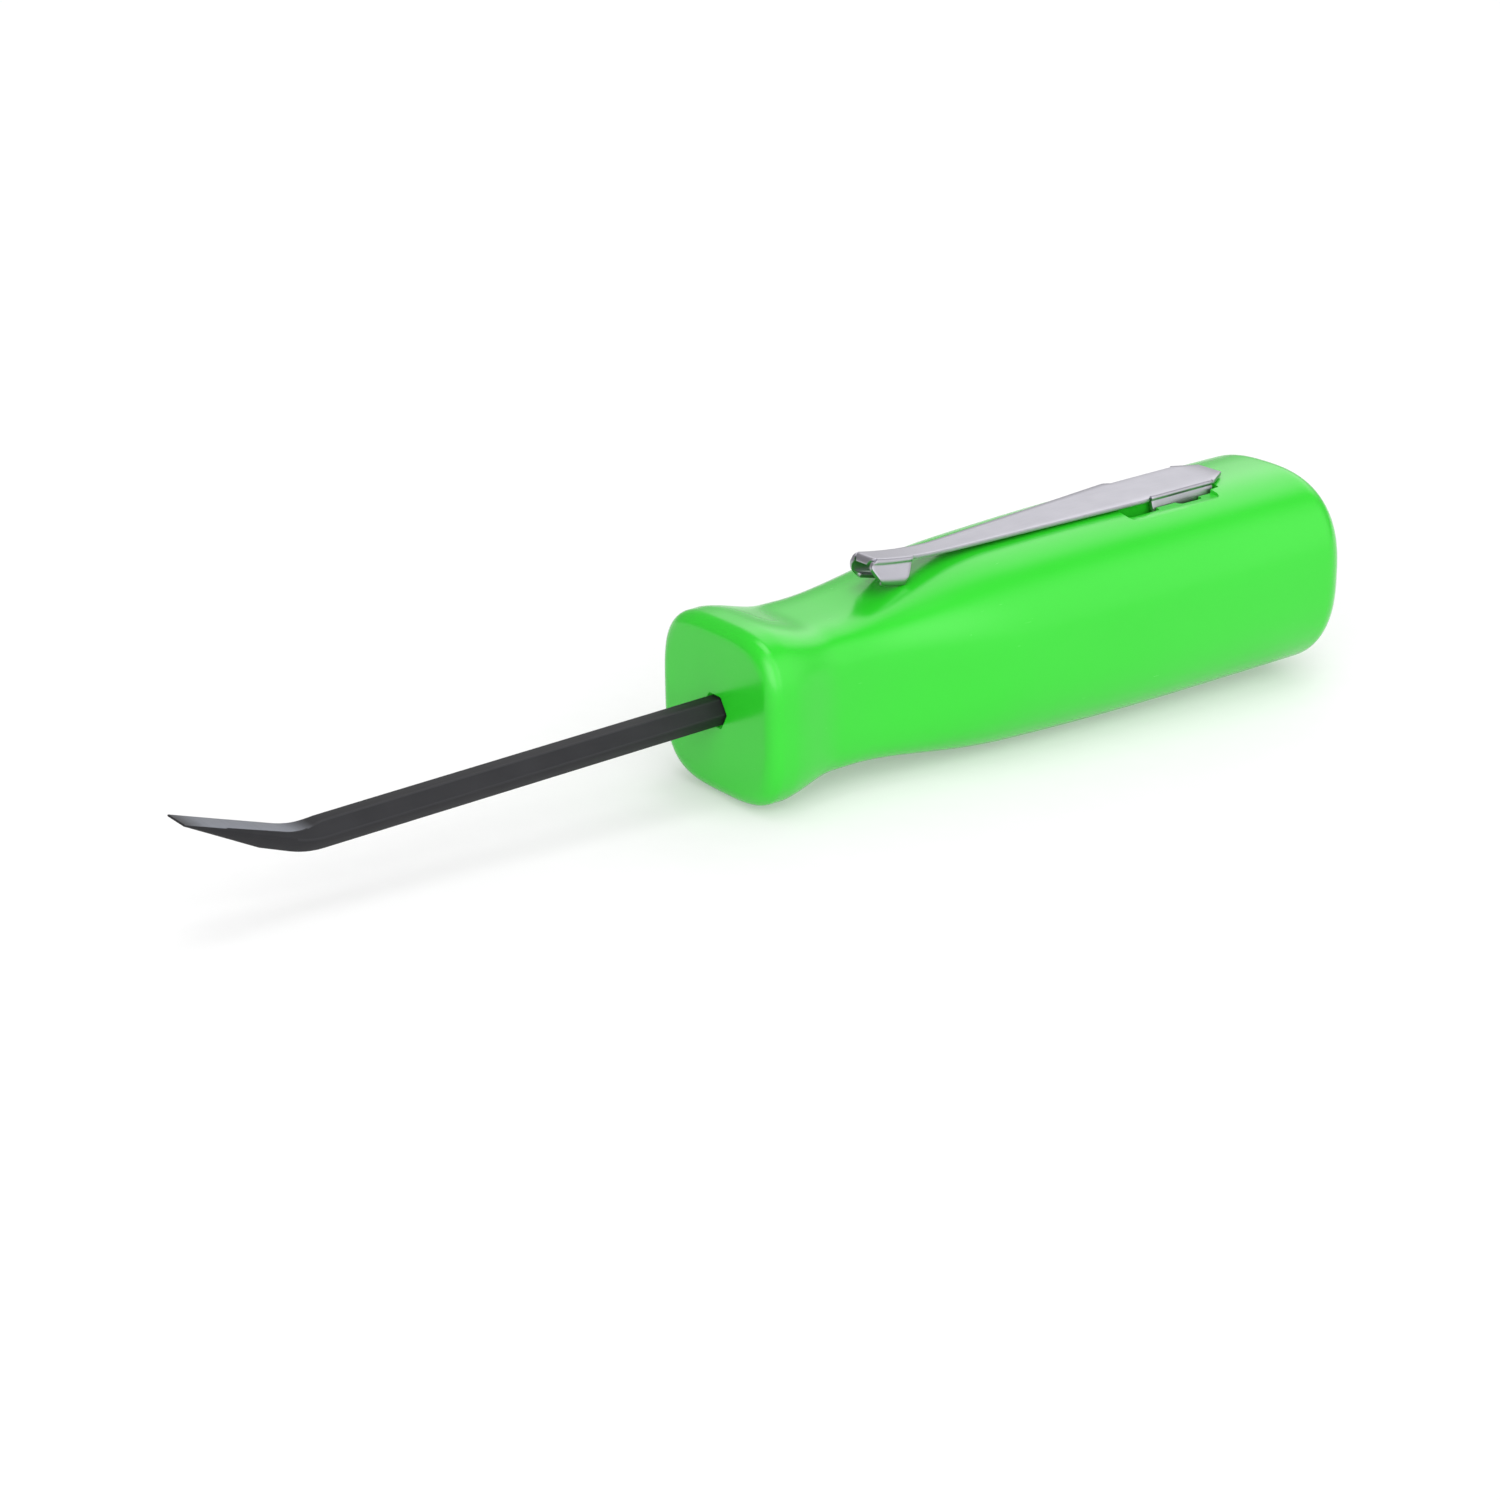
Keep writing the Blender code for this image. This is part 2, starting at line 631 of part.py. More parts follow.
def add_ear(bm, roots, side):
    """One ear of the head: folded down, narrowing as it goes, and curled under."""
    path = ear_path()
    middle = (roots[0].co.x + roots[-1].co.x) / 2
    total = len(path)
    rows = [roots]
    for step, (out, down) in enumerate(path, start=1):
        t = max(0.0, (step - 3) / (total - 3))
        taper = math.sin(t * math.pi / 2)
        share = 1 + (EAR_TIP_LENGTH / EAR_ROOT_LENGTH - 1) * taper
        row = []
        for root in roots:
            x = middle + (root.co.x - middle) * share - EAR_TIP_FORWARD * taper
            row.append(bm.verts.new((x, root.co.y + side * out, root.co.z - down)))
        rows.append(row)
    for upper, lower in zip(rows, rows[1:]):
        for k in range(len(roots) - 1):
            bm.faces.new((upper[k], upper[k + 1], lower[k + 1], lower[k]))


def rest_angle():
    """Turn that brings the front rim and the belly down onto one plane."""
    contact = RIM_EDGE_RADIUS
    belly = [WAIST_FROM_FRONT + (HANDLE_LENGTH - BUTT_DOME_DEPTH - WAIST_FROM_FRONT) * k / 200
             for k in range(201)]
    drop = max((PROFILE(x) - RIM_HALF_HEIGHT) / (x - contact) for x in belly)
    return -math.atan(drop)


def corners_in_world(items):
    """Every vertex of the finished objects, in world space."""
    depsgraph = bpy.context.evaluated_depsgraph_get()
    points = []
    for item in items:
        final = item.evaluated_get(depsgraph)
        points += [final.matrix_world @ v.co for v in final.data.vertices]
    return points


def lay_down(rest, items):
    """Tilt the tool to its resting pose and centre it over the plane Z = 0."""
    rest.rotation_euler = (0.0, rest_angle(), 0.0)
    bpy.context.view_layer.update()
    points = corners_in_world(items)
    low = min(p.z for p in points)
    middle = (min(p.x for p in points) + max(p.x for p in points)) / 2
    rest.location = (-middle, 0.0, -low)
    bpy.context.view_layer.update()


def print_reference_places(rest):
    """Places that a fitting or a joint refers to, in world space."""
    frame = rest.matrix_world
    flat = frame.to_3x3()
    stations = bar_stations()
    high, low = stations[-2], stations[-1]
    droop = bar_droop()
    top_a = bar_rings([high])[0]
    top_b = bar_rings([low])[0]
    upper = [p for ring in (top_a, top_b) for p in (ring[1], ring[2])]
    centre = sum(upper, Vector()) / 4
    normal = (upper[1] - upper[0]).cross(upper[2] - upper[0]).normalized()
    if normal.z < 0:
        normal = -normal
    arm = Vector(((ARM_START + TAPER_START) / 2, 0.0, STRIP_UNDERSIDE))
    places = {
        "clip flex axis": (frame @ FLEX_AXIS, flat @ Vector((0, 1, 0))),
        "handle front face": (frame @ Vector((0, 0, RIM_HALF_HEIGHT * 0.55)), flat @ Vector((-1, 0, 0))),
        "chisel top face": (frame @ droop @ centre, flat @ droop.to_3x3() @ normal),
        "clip underside": (frame @ arm, flat @ Vector((0, 0, -1))),
    }
    for name, (point, direction) in places.items():
        print(name, [round(v, 7) for v in point], [round(v, 6) for v in direction])
    print("rest turn in degrees", round(math.degrees(rest_angle()), 4))
    print("arm falls by", round(ARM_SLOPE * (CHANNEL_START - NECK_X) / MM, 3), "mm")


def main():
    clear_scene()
    rest = new_empty("tool_rest")
    pieces = [make_handle(rest), make_blade(rest), make_clip(rest)]
    lay_down(rest, pieces)
    print_reference_places(rest)


main()
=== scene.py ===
# %% [markdown]
# # A pocket pry bar, dressed for its photograph
#
# The tool is a short hexagonal steel bar with a bent chisel tip, moulded into a glossy
# plastic handle that carries a sprung pocket clip. It lies nose low on a pale surface.
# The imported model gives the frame: where each body is and how the clip moves. This lesson
# makes the visible pieces again with finer shapes, gives each a finish made of nodes, and
# then sets the light and the camera.

import json
import math

import bmesh
import bpy
from mathutils import Matrix, Vector


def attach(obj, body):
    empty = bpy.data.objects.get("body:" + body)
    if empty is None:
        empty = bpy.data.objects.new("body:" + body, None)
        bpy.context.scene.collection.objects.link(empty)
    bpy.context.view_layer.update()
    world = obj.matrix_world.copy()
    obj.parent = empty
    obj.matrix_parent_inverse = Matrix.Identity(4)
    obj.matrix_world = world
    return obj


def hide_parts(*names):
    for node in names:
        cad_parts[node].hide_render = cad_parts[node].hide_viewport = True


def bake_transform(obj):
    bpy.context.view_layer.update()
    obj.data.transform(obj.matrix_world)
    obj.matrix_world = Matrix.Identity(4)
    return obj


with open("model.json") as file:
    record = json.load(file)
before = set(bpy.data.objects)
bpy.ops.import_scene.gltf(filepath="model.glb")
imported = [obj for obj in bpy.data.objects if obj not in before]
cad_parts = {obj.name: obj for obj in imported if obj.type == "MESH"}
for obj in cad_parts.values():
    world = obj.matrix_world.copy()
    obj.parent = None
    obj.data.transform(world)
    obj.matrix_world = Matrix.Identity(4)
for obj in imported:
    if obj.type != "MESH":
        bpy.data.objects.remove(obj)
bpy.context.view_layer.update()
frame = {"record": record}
MM = 0.001

# %% [markdown]
# ## The tool's own axis
#
# The tool was drawn along its own axis: X runs from the chisel to the butt, X = 0 is the
# handle's front face, and Z points to the clip's side. It was then laid down on the bench.
# The record's mount on the front face tells how it was turned and where it came to rest,
# so no angle is written twice. The mount sits a little above the bar, at 0.55 of the rim's
# half height.

# %% Place of the tool on the bench
RIM_HALF_HEIGHT = 9.35 * MM
mounts = {mount["name"]: mount for mount in frame["record"]["mounts"]}
front_face = mounts["handle_front_face"]
rest_turn = math.atan2(front_face["axis"][2], -front_face["axis"][0])
turn = Matrix.Rotation(rest_turn, 4, "Y")
MOUNT_HEIGHT = RIM_HALF_HEIGHT * 0.55
shift = Vector(front_face["pos_m"]) - turn @ Vector((0, 0, MOUNT_HEIGHT))
TOOL = Matrix.Translation(shift) @ turn
print("the tool lies turned by", round(math.degrees(rest_turn), 3), "degrees")

# %% [markdown]
# ## One class for node maths
#
# Patterns and rules are easier to read as formulas than as a web of boxes. A `Value` holds
# one output socket, and an expression such as `1 - mask * 0.5` adds the Math nodes that it
# needs. The same class serves the shape of the handle and all the finishes.

# %% Values that write their own Math nodes
class Value:
    def __init__(self, tree, socket):
        self.tree = tree
        self.socket = socket

    def math(self, operation, *others, clamp=False):
        node = self.tree.nodes.new("ShaderNodeMath")
        node.operation = operation
        node.use_clamp = clamp
        for place, value in enumerate((self,) + others):
            plug(self.tree, node.inputs[place], value)
        return Value(self.tree, node.outputs[0])

    def __add__(self, other): return self.math("ADD", other)
    def __radd__(self, other): return self.math("ADD", other)
    def __mul__(self, other): return self.math("MULTIPLY", other)
    def __rmul__(self, other): return self.math("MULTIPLY", other)
    def __sub__(self, other): return self.math("SUBTRACT", other)
    def __rsub__(self, other): return (self * -1.0).math("ADD", other)
    def __truediv__(self, other): return self.math("DIVIDE", other)
    def __rtruediv__(self, other): return self.math("POWER", -1.0) * other
    def __pow__(self, other): return self.math("POWER", other)
    def clamp(self): return self.math("ADD", 0.0, clamp=True)
    def sin(self): return self.math("SINE")
    def cos(self): return self.math("COSINE")
    def size(self): return self.math("ABSOLUTE")
    def largest(self, other): return self.math("MAXIMUM", other)


def plug(tree, socket, value):
    """Link a value or a socket to an input, or set a plain number or colour on it."""
    if isinstance(value, Value):
        tree.links.new(value.socket, socket)
    elif isinstance(value, bpy.types.NodeSocket):
        tree.links.new(value, socket)
    else:
        socket.default_value = value


def add_node(tree, kind, settings=None, **values):
    """Add any other node: its settings first, then its inputs by name or by number."""
    node = tree.nodes.new(kind)
    for name, setting in (settings or {}).items():
        setattr(node, name, setting)
    for name, value in values.items():
        key = int(name[1:]) if name.startswith("_") else name.replace("_", " ")
        plug(tree, node.inputs[key], value)
    return node


# %% [markdown]
# ## Handle: the rule of its shape
#
# The real handle is one injection moulding. Its section is a rounded square, squarest at
# the waist and roundest along the belly, and its height rises and falls along the length: a
# flat front face with a rounded rim, a waist for the forefinger, a long belly and a domed
# butt. It could be sculpted or subdivided from a box, but a shape that follows a rule is
# best made by the rule. A Geometry Nodes tree bends a plain grid: one way along the
# profile, the other way round the section.

# %% Sizes of the handle
HANDLE = {
    "Length": 80.3 * MM,
    "Rim Half Height": 9.2 * MM,
    "Rim Radius": 1.6 * MM,
    "Rim Band End": 2.9 * MM,
    "Rim Slope": -0.12,
    "Waist Start": 10.0 * MM,
    "Waist End": 12.0 * MM,
    "Waist Half Height": 7.7 * MM,
    "Shoulder From Front": 33.0 * MM,
    "Shoulder Half Height": 10.45 * MM,
    "Belly Half Height": 11.0 * MM,
    "Butt Half Height": 11.05 * MM,
    "Dome Depth": 5.6 * MM,
    "Dome Fullness": 2.0,
    "Width To Height": 1.03,
    "Rim Squareness": 3.44,
    "Waist Squareness": 4.3,
    "Body Squareness": 2.6,
}
HANDLE["Dome Start"] = HANDLE["Length"] - HANDLE["Dome Depth"]
HANDLE["Belly From Front"] = (HANDLE["Shoulder From Front"] + HANDLE["Dome Start"]) / 2
COLUMNS_ALONG = 190
COLUMNS_ROUND = 160
MERGE_DISTANCE = 0.004 * MM


def blended_slope(a, b, c):
    """Slope at the middle one of three points that lets the curve pass without a bump."""
    before = (b[1] - a[1]) / (b[0] - a[0])
    after = (c[1] - b[1]) / (c[0] - b[0])
    return 2 * before * after / (before + after) if before * after > 0 else 0.0


waist = (HANDLE["Waist End"], HANDLE["Waist Half Height"])
shoulder = (HANDLE["Shoulder From Front"], HANDLE["Shoulder Half Height"])
belly = (HANDLE["Belly From Front"], HANDLE["Belly Half Height"])
butt = (HANDLE["Dome Start"], HANDLE["Butt Half Height"])
HANDLE["Shoulder Slope"] = blended_slope(waist, shoulder, belly)
HANDLE["Belly Slope"] = blended_slope(shoulder, belly, butt)
print("slopes at the shoulder and the belly:", round(HANDLE["Shoulder Slope"], 4),
      round(HANDLE["Belly Slope"], 4))


# %% Parts of the rule
def stretch(x, start, end):
    """0 before the start, 1 after the end, and even steps between."""
    return ((x - start) / (end - start)).clamp()


def rise(x, start, end, low, high, start_slope=0.0, end_slope=0.0):
    """What a smooth curve from low to high adds between two places along the handle."""
    t = stretch(x, start, end)
    ease = t * t * (3.0 - t * 2.0)
    lean = t * (1.0 - t) * (1.0 - t) * start_slope - t * t * (1.0 - t) * end_slope
    return ease * (high - low) + lean * (end - start)


def half_height(x, size):
    """Half height of the handle at x, from the rim to the butt."""
    total = size["Rim Half Height"] + rise(
        x, size["Rim Band End"], size["Waist Start"],
        size["Rim Half Height"], size["Waist Half Height"], size["Rim Slope"])
    total = total + rise(
        x, size["Waist End"], size["Shoulder From Front"],
        size["Waist Half Height"], size["Shoulder Half Height"], 0.0, size["Shoulder Slope"])
    total = total + rise(
        x, size["Shoulder From Front"], size["Belly From Front"],
        size["Shoulder Half Height"], size["Belly Half Height"],
        size["Shoulder Slope"], size["Belly Slope"])
    return total + rise(
        x, size["Belly From Front"], size["Dome Start"],
        size["Belly Half Height"], size["Butt Half Height"], size["Belly Slope"], 0.0)


# %% [markdown]
# The grid's first direction runs along the profile in four stretches: out across the front
# face, round the rim, along the body, and over the dome. The second direction goes once
# round. Both ends and the seam are then closed by merging the points that meet.

# %% Tree of the handle
FACE_SHARE, RIM_SHARE, BODY_SHARE = 0.05, 0.13, 0.86


def handle_tree(finish):
    """Geometry Nodes tree that bends a grid into the handle."""
    tree = bpy.data.node_groups.new("handle moulding", "GeometryNodeTree")
    tree.interface.new_socket("Geometry", in_out="OUTPUT", socket_type="NodeSocketGeometry")
    for name in HANDLE:
        tree.interface.new_socket(name, in_out="INPUT", socket_type="NodeSocketFloat")
    entry = tree.nodes.new("NodeGroupInput")
    size = {name: Value(tree, entry.outputs[name]) for name in HANDLE}

    grid = add_node(tree, "GeometryNodeMeshGrid", Vertices_X=COLUMNS_ALONG,
                    Vertices_Y=COLUMNS_ROUND + 1)
    place = add_node(tree, "ShaderNodeSeparateXYZ", _0=tree.nodes.new(
        "GeometryNodeInputPosition").outputs[0])
    along = Value(tree, place.outputs[0]) + 0.5
    around = (Value(tree, place.outputs[1]) + 0.5) * (2 * math.pi)

    face = stretch(along, 0.0, FACE_SHARE)
    rim_angle = stretch(along, FACE_SHARE, RIM_SHARE) * (math.pi / 2)
    body = stretch(along, RIM_SHARE, BODY_SHARE)
    dome_angle = stretch(along, BODY_SHARE, 1.0) * (math.pi / 2)

    rim_radius, dome_depth = size["Rim Radius"], size["Dome Depth"]
    x = (rim_radius * (1.0 - rim_angle.cos())
         + (size["Dome Start"] - rim_radius) * body
         + dome_depth * dome_angle.sin())
    inset = rim_radius * (1.0 - rim_angle.sin())
    fullness = size["Dome Fullness"]
    dome = (1.0 - dome_angle.sin() ** fullness).largest(0.0) ** (1.0 / fullness)

    high = half_height(x, size) - inset
    wide = half_height(x, size) * size["Width To Height"] - inset
    square = size["Rim Squareness"] + rise(
        x, size["Rim Radius"], size["Waist Start"],
        size["Rim Squareness"], size["Waist Squareness"]) + rise(
        x, size["Waist Start"], size["Shoulder From Front"],
        size["Waist Squareness"], size["Body Squareness"])
    out, up = around.cos(), around.sin()
    reach = (out.size() ** square + (up.size() * (wide / high)) ** square) ** (-1.0 / square)
    reach = reach * wide * face * dome

    bent = add_node(tree, "ShaderNodeCombineXYZ", X=x, Y=reach * out, Z=reach * up)
    shaped = add_node(tree, "GeometryNodeSetPosition", Geometry=grid.outputs["Mesh"],
                      Position=bent.outputs[0])
    closed = add_node(tree, "GeometryNodeMergeByDistance", Geometry=shaped.outputs[0],
                      Distance=MERGE_DISTANCE)
    smooth = add_node(tree, "GeometryNodeSetShadeSmooth", _0=closed.outputs[0])
    real = add_node(tree, "GeometryNodeRealizeInstances", Geometry=smooth.outputs[0])
    coloured = add_node(tree, "GeometryNodeSetMaterial", Geometry=real.outputs[0])
    coloured.inputs["Material"].default_value = finish
    leave = tree.nodes.new("NodeGroupOutput")
    tree.links.new(coloured.outputs[0], leave.inputs[0])
    return tree


def to_mesh(item, name):
    """The finished shape of an object as a plain mesh object, in its place on the bench."""
    mesh = bpy.data.meshes.new_from_object(
        item.evaluated_get(bpy.context.evaluated_depsgraph_get()))
    mesh.name = name
    bpy.data.objects.remove(item, do_unlink=True)
    result = bpy.data.objects.new(name, mesh)
    bpy.context.scene.collection.objects.link(result)
    return result


def facing_out(item):
    """Turn all faces of a closed mesh outwards."""
    bm = bmesh.new()
    bm.from_mesh(item.data)
    bmesh.ops.recalc_face_normals(bm, faces=bm.faces[:])
    bm.to_mesh(item.data)
    bm.free()


# %% [markdown]
# ## Finishes: glossy green plastic
#
# The handle is a hard, glossy, strongly coloured plastic. Up close such a moulding is never
# one flat colour: the pigment clouds a little along the flow, the skin has a very faint
# orange peel, and handling leaves hair scratches and slightly dull places. Each of these is
# a noise at its own scale. They feed the colour, the roughness and the bump.

# %% Start of a finish
def new_finish(name):
    """A material with its Principled shader and the object's own coordinates."""
    finish = bpy.data.materials.new(name)
    finish.use_nodes = True
    tree = finish.node_tree
    shader = tree.nodes["Principled BSDF"]
    place = add_node(tree, "ShaderNodeTexCoord").outputs["Object"]
    return finish, tree, shader, place


def noise(tree, place, scale, detail=3.0, stretch_by=(1.0, 1.0, 1.0), rough=0.5):
    """Noise at a scale given in bumps per metre, stretched along an axis if wanted."""
    spread = add_node(tree, "ShaderNodeMapping", Vector=place,
                      Scale=tuple(scale * s for s in stretch_by))
    cloud = add_node(tree, "ShaderNodeTexNoise", Vector=spread.outputs[0], Scale=1.0,
                     Detail=detail, Roughness=rough)
    return Value(tree, cloud.outputs[0])


def mixed(tree, share, first, second):
    """Colour between two colours."""
    mix = add_node(tree, "ShaderNodeMix", {"data_type": "RGBA"})
    plug(tree, mix.inputs[0], share)
    plug(tree, mix.inputs[6], first)
    plug(tree, mix.inputs[7], second)
    return mix.outputs[2]


def bumped(tree, height, strength, depth):
    """A bump from a height value; depth is its real depth in metres."""
    node = add_node(tree, "ShaderNodeBump", Height=height, Strength=strength, Distance=depth)
    return node.outputs[0]


# %% Green plastic
GREEN = (0.016, 0.456, 0.014, 1.0)
GREEN_PALE = (0.021, 0.490, 0.019, 1.0)


def make_green_plastic():
    finish, tree, shader, place = new_finish("glossy green plastic")
    flow = noise(tree, place, 90.0, 2.0, (0.35, 1.0, 1.0))
    peel = noise(tree, place, 2600.0, 2.0)
    hair = noise(tree, place, 5200.0, 2.0, (0.05, 1.0, 1.0))
    handled = noise(tree, place, 160.0, 4.0)
    scratch = ((hair - 0.70) * 8.0).clamp()
    plug(tree, shader.inputs["Base Color"], mixed(tree, flow.clamp(), GREEN, GREEN_PALE))
    plug(tree, shader.inputs["Roughness"], 0.16 + handled * 0.10 + scratch * 0.10)
    plug(tree, shader.inputs["Normal"], bumped(tree, peel - scratch * 0.25, 0.25, 0.004 * MM))
    shader.inputs["IOR"].default_value = 1.49
    return finish


green_plastic = make_green_plastic()
print("made", green_plastic.name)

# %% [markdown]
# ## Handle: grow it from the tree
#
# The modifier's inputs are set by the identifier of each socket. The result is turned into
# a plain mesh, moved to the tool's place, and its pockets are cut.

# %% Grow the handle
def grow(name, tree, sizes):
    """Object whose mesh comes from a tree, with every named size set."""
    host = bpy.data.objects.new(name, bpy.data.meshes.new(name))
    bpy.context.scene.collection.objects.link(host)
    modifier = host.modifiers.new(name, "NODES")
    modifier.node_group = tree
    for item in tree.interface.items_tree:
        if item.item_type == "SOCKET" and item.in_out == "INPUT":
            modifier[item.identifier] = sizes[item.name]
    return to_mesh(host, name)


handle = grow("green_handle", handle_tree(green_plastic), HANDLE)
facing_out(handle)
print("handle faces:", len(handle.data.polygons))

# %% [markdown]
# ## Bar: a hexagon that is bent and ground
#
# The bar is drawn hexagonal steel. Its end is bent up, then ground: deep on the top from the
# bend on, and below from the heel on, down to a thin chisel edge. Grinding a hexagon lower
# makes its flat wider, because the slanting sides stay where they are. So each section is
# worked out from the height of its top and bottom flats, and the sections are skinned.

# %% Sizes of the bar
ACROSS_FLATS = 2.8 * MM
CORNER_REACH = ACROSS_FLATS / math.sqrt(3)
STRAIGHT_LENGTH = 45.0 * MM
DROOP_DEG = 0.95
BEND_RADIUS = 8.0 * MM
BEND_DEG = 22.4
TIP_LENGTH = 11.9 * MM
EDGE_THICKNESS = 0.2 * MM
TOP_GRIND_HEIGHT = 0.62 * MM
GRIND_LEAD = 0.3 * MM
GRIND_END = 1.2 * MM
HEEL_GRIND_LENGTH = 8.7 * MM
TANG_LENGTH = 40.0 * MM
EDGE_BREAK = 0.13 * MM
BROKEN_EDGE_WIDTH = 0.3 * MM
GRIND_FADE_START = 2.0 * MM
GRIND_FADE_LENGTH = 2.4 * MM
# painted shade: length over which the chisel's ground face is darkened towards its edge
TIP_PAINTED_SHADE_LENGTH = 2.6 * MM
print("bar outside the handle:", round((STRAIGHT_LENGTH + TIP_LENGTH) / MM, 1), "mm and a bend")


def bar_section(up, down, grow_by=0.0):
    """Points of one section: a hexagon with its top and bottom flats at given heights."""
    reach = CORNER_REACH + grow_by * 1.155
    corners = []
    for height, side in ((up + grow_by, 1), (-down - grow_by, -1)):
        flat = max(reach - abs(height) / math.sqrt(3), reach * 0.3)
        corners += [Vector((side * flat, height)), Vector((-side * flat, height))]
        corners.append(Vector((-side * reach, 0.0)))
    points = []
    for k, corner in enumerate(corners):
        before = corners[k - 1] - corner
        after = corners[(k + 1) % 6] - corner
        a = corner + before.normalized() * min(EDGE_BREAK, before.length * 0.3)
        b = corner + after.normalized() * min(EDGE_BREAK, after.length * 0.3)
        for share in (0.0, 0.5, 1.0):
            bow = (corner - (a + b) / 2) * (0.35 * (1 - abs(2 * share - 1)))
            points.append(a.lerp(b, share) + bow)
    return points


def bar_stations():
    """Centre, turn and flat heights along the bar, from the tang to the chisel edge."""
    flat = ACROSS_FLATS / 2
    stations = [(Vector((x, 0.0)), 0.0, flat, flat) for x in (TANG_LENGTH, 0.0)]
    for k in range(1, 9):
        stations.append((Vector((-STRAIGHT_LENGTH * k / 9, 0.0)), 0.0, flat, flat))
    start = Vector((-STRAIGHT_LENGTH, 0.0))
    bend_length = BEND_RADIUS * math.radians(BEND_DEG)
    for k in range(25):
        turned = math.radians(BEND_DEG * k / 24)
        centre = start + Vector((-math.sin(turned), 1 - math.cos(turned))) * BEND_RADIUS
        up = grind_height(bend_length * (k / 24 - 1))
        stations.append((centre, BEND_DEG * k / 24, up, flat))
    end, lean = stations[-1][0], math.radians(BEND_DEG)
    along = Vector((-math.cos(lean), math.sin(lean)))
    edge = EDGE_THICKNESS / 2
    for distance in tip_steps():
        below = min(1.0, (TIP_LENGTH - distance) / HEEL_GRIND_LENGTH)
        stations.append((end + along * distance, BEND_DEG, grind_height(distance),
                         edge + (flat - edge) * below))
    return stations


def grind_height(distance):
    """Height of the ground top: it falls through the bend, then tapers to the edge."""
    flat, edge = ACROSS_FLATS / 2, EDGE_THICKNESS / 2
    start = -BEND_RADIUS * math.radians(BEND_DEG) - GRIND_LEAD
    t = min(1.0, max(0.0, (distance - start) / (GRIND_END - start)))
    fall = (TOP_GRIND_HEIGHT - edge) / TIP_LENGTH
    flat_part = TOP_GRIND_HEIGHT - fall * max(distance, 0.0)
    return flat_part + (flat - TOP_GRIND_HEIGHT) * (1 - t * t * (3 - 2 * t))


def tip_steps():
    """Distances from the end of the bend to the chisel edge."""
    heel = TIP_LENGTH - HEEL_GRIND_LENGTH
    return [heel * k / 6 for k in range(1, 7)] + [
        heel + HEEL_GRIND_LENGTH * k / 12 for k in range(1, 13)]


DROOP = Matrix.Rotation(-math.radians(DROOP_DEG), 4, "Y")


def bar_rings(stations, grow_by=0.0):
    """Sections in space, along the drooping bar."""
    rings = []
    for centre, turned, up, down in stations:
        swing = math.radians(turned)
        upright = Vector((math.sin(swing), 0.0, math.cos(swing)))
        middle = Vector((centre.x, 0.0, centre.y))
        section = bar_section(up, down, grow_by)
        rings.append([DROOP @ (middle + Vector((0, p.x, 0)) + upright * p.y) for p in section])
    return rings


def skin(rings):
    """Mesh that joins a row of matching rings and closes both ends."""
    bm = bmesh.new()
    rows = [[bm.verts.new(point) for point in ring] for ring in rings]
    for front, back in zip(rows, rows[1:]):
        for k in range(len(front)):
            n = (k + 1) % len(front)
            bm.faces.new((front[k], front[n], back[n], back[k]))
    bm.faces.new(reversed(rows[0]))
    bm.faces.new(rows[-1])
    bmesh.ops.recalc_face_normals(bm, faces=bm.faces[:])
    return bm


def new_piece(name, bm, sharp_deg, finish=None):
    """Named object from a bmesh, smooth except at edges sharper than an angle."""
    mesh = bpy.data.meshes.new(name)
    bm.to_mesh(mesh)
    bm.free()
    mesh.shade_smooth()
    mesh.set_sharp_from_angle(angle=math.radians(sharp_deg))
    item = bpy.data.objects.new(name, mesh)
    bpy.context.scene.collection.objects.link(item)
    if finish:
        mesh.materials.append(finish)
    return item


# %% [markdown]
# ## Finishes: black oxide steel
#
# The bar is blackened after it is drawn and ground. The black is thin: along the edges and
# on the ground face of the chisel the grey steel shows through a little, and the drawing
# has left fine lines along the bar. The ground face is told to the finish by an attribute
# that is painted on the mesh when it is made.

# %% Black oxide
BLACK = (0.012, 0.012, 0.014, 1.0)
BLACK_WORN = (0.028, 0.028, 0.031, 1.0)
GROUND_STEEL = (0.22, 0.23, 0.26, 1.0)


def make_black_oxide():
    finish, tree, shader, place = new_finish("black oxide steel")
    lines = noise(tree, place, 5200.0, 3.0, (0.02, 1.0, 1.0))
    cross = noise(tree, place, 6000.0, 3.0, (1.0, 0.04, 1.0))
    patches = noise(tree, place, 260.0, 4.0)
    ground = Value(tree, add_node(tree, "ShaderNodeAttribute",
                                  {"attribute_name": "ground"}).outputs["Fac"])
    worn = Value(tree, add_node(tree, "ShaderNodeAttribute",
                                {"attribute_name": "edge"}).outputs["Fac"])
    worn = (worn * (0.4 + patches) - 0.35).clamp()
    colour = mixed(tree, (patches * 0.8 + worn * 2.0).clamp(), BLACK, BLACK_WORN)
    colour = mixed(tree, (ground * (0.75 + cross * 0.4)).clamp(), colour, GROUND_STEEL)
    plug(tree, shader.inputs["Base Color"], colour)
    plug(tree, shader.inputs["Metallic"], 0.45 + ground * 0.5)
    plug(tree, shader.inputs["Roughness"], 0.44 + lines * 0.10 + patches * 0.10)
    shader.inputs["Specular IOR Level"].default_value = 0.3
    height = lines * (1.0 - ground) + cross * ground
    plug(tree, shader.inputs["Normal"], bumped(tree, height, 0.35, 0.006 * MM))
    return finish


black_oxide = make_black_oxide()
print("made", black_oxide.name)


# %% Skin the bar
def width_of(face, mesh):
    """Width of a face measured across the bar."""
    corners = [mesh.vertices[index].co for index in face.vertices]
    return max(math.hypot(a.y - b.y, a.z - b.z) for a in corners for b in corners)


def paint_corners(mesh, name, rule):
    """Write a number on every corner of every face, for a finish to read."""
    layer = mesh.attributes.new(name, "FLOAT", "CORNER")
    for face in mesh.polygons:
        for loop in face.loop_indices:
            point = mesh.vertices[mesh.loops[loop].vertex_index].co
            layer.data[loop].value = rule(point, face, mesh)


